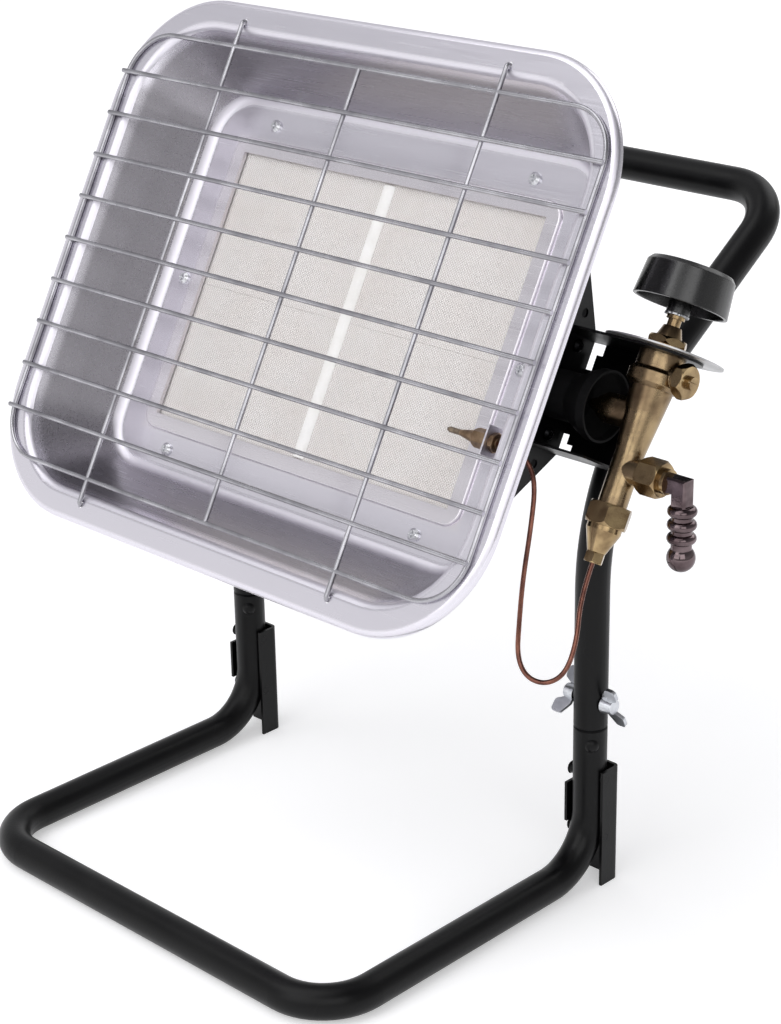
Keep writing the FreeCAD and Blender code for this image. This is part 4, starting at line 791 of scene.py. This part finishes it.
@dataclass
class GasTrain:
    """Valve, knob, hose tail and thermocouple fittings.

    Attributes:
        forged: Brass bodies that are forged.
        turned: Brass fittings that are turned from bar.
        heated: Brass fittings beside the burner.
        steel: Small steel pieces of the valve.
    """

    forged: Sequence[str] = ("valve_body",)
    turned: Sequence[str] = ("bonnet_nut", "side_plug", "injector", "inlet_nut", "union_nut",
                             "thermocouple_union", "lead_nut", "control_stem")
    heated: Sequence[str] = ("thermocouple_body", "thermocouple_nut")
    steel: Sequence[str] = ("valve_plunger", "stem_clip")

    def dress(self) -> None:
        """Brass in two workings, plated tail, satin dial and moulded knob."""
        # Forged and tumbled brass: brown-gold, with a slightly pitted skin.
        dress(self.forged, WorkedMetal("forged_brass", VALVE_AXES, "#6b5844", "#a48f6e", (0.2, 0.34),
                                       cloud_mm=16.0, grain_mm=(0.9, 0.9, 0.9), grain_depth=0.00008,
                                       edge=0.0006))
        # Brass turned from bar: paler gold, with fine rings and crisp edges.
        dress(self.turned, WorkedMetal("turned_brass", VALVE_AXES, "#79644a", "#b29b74", (0.16, 0.27),
                                       cloud_mm=10.0, grain_mm=(4.0, 4.0, 0.5), grain_depth=0.00002,
                                       edge=0.0002))
        # Brass beside the burner: browned, with a soft shine.
        dress(self.heated, WorkedMetal("heat_dulled_brass", HEAD_AXES, "#65513f", "#978068", (0.3, 0.42),
                                       cloud_mm=5.0))
        # Nickel over polished brass, nearly a mirror, in a dark brownish grey: painted shade for the dark
        # surroundings it reflects.
        dress(["hose_tail"], WorkedMetal("nickel_plated_brass", VALVE_AXES, "#4a3e40", "#796b6d",
                                         (0.06, 0.12), cloud_mm=12.0, grain_mm=(1.5, 1.5, 1.5),
                                         grain_depth=0.00002, edge=0.0005))
        # Brushed aluminium disc: even pale grey with fine streaks.
        dress(["dial_plate"], WorkedMetal("satin_aluminium", VALVE_AXES, "#b6b6b7", "#c9c9ca", (0.34, 0.44),
                                          cloud_mm=20.0, grain_mm=(6.0, 0.5, 0.5), grain_depth=0.00002,
                                          edge=0.0002))
        # Ground spring steel: clean grey with a clear shine.
        dress(self.steel, WorkedMetal("bright_spring_steel", VALVE_AXES, "#a0a1a4", "#c4c5c8", (0.22, 0.34),
                                      cloud_mm=5.0))
        # Alloy tip that has glowed: brown and straw tints.
        dress(["thermocouple_probe"], WorkedMetal("heat_tinted_alloy", HEAD_AXES, "#5d5148", "#9a8b78",
                                                  (0.3, 0.45), cloud_mm=3.0))
        # Phenolic moulded in a polished tool: glossy black with rounded edges.
        dress(["control_knob"], Rough("moulded_black_phenolic", VALVE_AXES, "#060606", "#0b0b0b",
                                      (0.2, 0.28), cloud_mm=16.0, grain_mm=0.9, grain_depth=0.00003,
                                      edge=0.0012, gloss=0.8))


def drawn_copper() -> WorkedMetal:
    """Drawn copper tube in a dark red-brown, with one long highlight."""
    return WorkedMetal("drawn_copper", HEAD_AXES, "#583b35", "#875b4d", (0.18, 0.3), cloud_mm=9.0,
                       grain_mm=(0.7, 0.7, 5.0), grain_depth=0.00002, edge=0.0002)


@dataclass
class ThermocoupleLead:
    """Copper lead that loops from the thermocouple under the valve: stiff, one smooth bend after another.

    Attributes:
        route: Points as distance right of the head's middle, height above the pivot and depth behind
            the rim, in metres.
        rim_to_pivot: Depth of the pivot behind the rim, in metres.
        diameter: Outside diameter, in metres.
        length: Length along the lead, in metres.
        round_steps: Blender's number of extra steps in a quarter of the round section.
        route_steps: Steps between two points of the route.
        order: Order of the spline: 3 for quadratic.
        finish: Finish of the wire.
    """

    route: Sequence[Point] = (
        (0.162, -0.046, 0.042), (0.174, -0.046, 0.042), (0.183, -0.0505, 0.046), (0.188, -0.061, 0.0525),
        (0.1875, -0.084, 0.062), (0.187, -0.116, 0.072), (0.1895, -0.141, 0.079), (0.1925, -0.1595, 0.0835),
        (0.201, -0.169, 0.087), (0.213, -0.169, 0.091), (0.2215, -0.1595, 0.094), (0.221, -0.14, 0.095),
        (0.2135, -0.115, 0.095), (0.2135, -0.0935, 0.095))
    rim_to_pivot: float = 0.1605
    diameter: float = 0.003
    length: float = 0.2428
    round_steps: int = 6
    route_steps: int = 12
    order: int = 3
    finish: Finish = field(default_factory=drawn_copper)

    def build(self) -> bpy.types.Object:
        """Lay the route's points as control points of one quadratic NURBS spline with a round bevel.

        Returns:
            The curve object, riding on the head in place of its CAD node.
        """
        across, up, behind = np.array(self.route).T
        points = HEAD_AXES.place(np.stack((across, behind - self.rim_to_pivot, up), axis=1))
        curve = bpy.data.curves.new("lead_wire", "CURVE")
        curve.dimensions = "3D"
        curve.bevel_depth = self.diameter / 2
        curve.bevel_resolution = self.round_steps
        curve.resolution_u = self.route_steps
        spline = curve.splines.new("NURBS")
        spline.points.add(len(points) - 1)
        spline.points.foreach_set("co", np.c_[points, np.ones(len(points))].ravel())
        spline.order_u = self.order
        spline.use_endpoint_u = True
        curve.materials.append(self.finish.material())
        lead = bpy.data.objects.new("lead_wire", curve)
        bpy.context.scene.collection.objects.link(lead)
        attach(lead, "head")
        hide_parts("thermocouple_lead")
        LOG.info("lead_wire: copper lead of %.1f mm", self.length / METRES_PER_MM)
        return lead


class Lamp(Enum):
    """Soft boxes of the studio: place, side in metres and power in watts."""

    KEY = ((-0.6, -1.2, 3.4), 3.0, 47.0)
    FRONT = ((0.2, -2.3, 1.5), 1.9, 18.0)
    FILL = ((2.5, -1.9, 1.9), 2.2, 26.0)
    BACK = ((0.2, 2.6, 2.4), 2.2, 20.0)


@dataclass
class Studio:
    """White floor and surroundings, four soft boxes and the camera.

    Attributes:
        target: Point that the lamps face.
        floor_size: Side of the floor, in metres.
        floor: Colour of the floor.
        lift: Glow of the floor towards the camera and in reflections, near the object and far from it,
            which takes its lit tone up to white.
        near_far: Distances from the middle between which the glow grows, in metres.
        backdrop: Colour of the surroundings to the camera.
        sky: Tone of the surroundings over the sine of the height above the horizon.
        shaded: Light of the room's right side, where its left side and the backdrop have 1.
        left_right: Headings along X between which the room's light falls off.
        eye: Place of the camera.
        azimuth: Turn of the camera about Z, in degrees.
        elevation: Look down of the camera, in degrees.
        roll: Turn of the camera about its view, in degrees.
        focal_px: Focal length in pixels of the photograph.
        image: Width and height of the photograph in pixels.
        sensor_mm: Height of the camera's sensor.
    """

    target: Point = (0.0, 0.0, 0.28)
    floor_size: float = 14.0
    floor: str = "#ebebec"
    lift: Range = (0.38, 0.62)
    near_far: Range = (0.6, 3.0)
    backdrop: str = "#ffffff"
    sky: Sequence[tuple[float, str]] = (
        (0.0, "#ffffff"), (0.28, "#f7f7f8"), (0.4, "#d6d6d9"), (0.55, "#c6c6c9"), (1.0, "#acacb0"))
    shaded: float = 0.48
    left_right: Range = (-0.45, 0.3)
    eye: Point = (PIVOT[0] + 1.0075, PIVOT[1] - 1.0801, PIVOT[2] + 0.48584)
    azimuth: float = 44.4
    elevation: float = 21.8
    roll: float = -1.1
    focal_px: float = 2349.9
    image: tuple[int, int] = (781, 1024)
    sensor_mm: float = 36.0

    def build(self) -> None:
        """Build floor, surroundings, lamps and camera."""
        self.lay_floor()
        self.light_world()
        for lamp in Lamp:
            self.hang(lamp)
        self.stand_camera()

    def lay_floor(self) -> None:
        """Lay one square of board with a glow that the object's shadow still darkens."""
        half = self.floor_size / 2
        mesh = bpy.data.meshes.new("studio_floor")
        corners = [(-half, -half, 0.0), (half, -half, 0.0), (half, half, 0.0), (-half, half, 0.0)]
        mesh.from_pydata(corners, [], [(0, 1, 2, 3)])
        board = bpy.data.objects.new("studio_floor", mesh)
        bpy.context.scene.collection.objects.link(board)
        # Painted board: even and matt, white to the camera except where the object shades it.
        material, tree = surface("painted_studio_board")
        ray = add(tree, "LightPath").outputs
        seen = add(tree, "Math", {0: ray["Is Camera Ray"], 1: ray["Is Glossy Ray"]},
                   operation="MAXIMUM").outputs[0]
        here = add(tree, "TexCoord").outputs["Object"]
        away = add(tree, "VectorMath", {0: here}, operation="LENGTH").outputs["Value"]
        near, far = self.near_far
        low, high = self.lift
        rise = add(tree, "MapRange", {"Value": away},
                   {"From Min": near, "From Max": far, "To Min": low, "To Max": high},
                   interpolation_type="SMOOTHSTEP").outputs[0]
        glow = add(tree, "Math", {0: seen, 1: rise}, operation="MULTIPLY").outputs[0]
        light = add(tree, "Emission", {"Strength": glow})
        paint = add(tree, "BsdfDiffuse", values={"Color": linear(self.floor)})
        show(tree, add(tree, "AddShader", {0: paint.outputs[0], 1: light.outputs[0]}))
        mesh.materials.append(material)

    def light_world(self) -> None:
        """Surroundings, plain white to the camera; their light is paler to the horizon and the left."""
        world = bpy.data.worlds.new("studio")
        bpy.context.scene.world = world
        world.use_nodes = True
        tree = world.node_tree
        tree.nodes.clear()
        ray = add(tree, "LightPath").outputs
        seen = add(tree, "Math", {0: ray["Is Camera Ray"], 1: ray["Is Transmission Ray"]},
                   operation="MAXIMUM").outputs[0]
        heading = add(tree, "TexCoord").outputs["Generated"]
        across, _, height = add(tree, "SeparateXYZ", {"Vector": heading}).outputs
        tone = add(tree, "ValToRGB", {"Fac": height}, ramp=self.sky).outputs["Color"]
        colour = add(tree, "Mix", {0: seen, 6: tone}, {7: linear(self.backdrop)},
                     data_type="RGBA").outputs[2]
        left, right = self.left_right
        side = add(tree, "MapRange", {"Value": across},
                   {"From Min": left, "From Max": right, "To Min": 1.0, "To Max": self.shaded},
                   interpolation_type="SMOOTHSTEP").outputs[0]
        strength = add(tree, "Math", {0: seen, 1: side}, operation="MAXIMUM").outputs[0]
        sky = add(tree, "Background", {"Color": colour, "Strength": strength})
        add(tree, "OutputWorld", {"Surface": sky.outputs[0]})

    def hang(self, lamp: Lamp) -> None:
        """Hang one square soft box that faces the target.

        Args:
            lamp: Which one.
        """
        place, side, power = lamp.value
        box = bpy.data.lights.new(lamp.name.lower() + "_box", "AREA")
        box.shape = "SQUARE"
        box.size = side
        box.energy = power
        hung = bpy.data.objects.new(box.name, box)
        hung.location = place
        hung.rotation_euler = (Vector(self.target) - Vector(place)).to_track_quat("-Z", "Y").to_euler()
        bpy.context.scene.collection.objects.link(hung)

    def stand_camera(self) -> None:
        """Stand the camera where the photograph was taken from, with the photograph's focal length."""
        a, e, r = (math.radians(angle) for angle in (self.azimuth, self.elevation, self.roll))
        right = Vector((math.cos(a), math.sin(a), 0.0))
        ahead = Vector((-math.sin(a) * math.cos(e), math.cos(a) * math.cos(e), -math.sin(e)))
        up = right.cross(ahead)
        rolled_right = math.cos(r) * right + math.sin(r) * up
        rolled_up = math.cos(r) * up - math.sin(r) * right
        turn = Matrix((rolled_right, rolled_up, -ahead)).transposed()
        lens = bpy.data.cameras.new("camera")
        lens.sensor_fit = "VERTICAL"
        lens.sensor_height = self.sensor_mm
        lens.lens = self.focal_px / self.image[1] * lens.sensor_height
        camera = bpy.data.objects.new("camera", lens)
        camera.matrix_world = Matrix.Translation(self.eye) @ turn.to_4x4()
        bpy.context.scene.collection.objects.link(camera)
        bpy.context.scene.camera = camera


def main() -> None:
    """Build the studio, the lead and every finish."""
    logging.basicConfig(level=logging.INFO, format="%(message)s")
    bpy.context.scene.view_settings.view_transform = "Standard"
    Studio().build()
    ThermocoupleLead().build()
    for assembly in (Stand(), BurnerHead(), GasTrain()):
        assembly.dress()


if __name__ == "__main__":
    main()
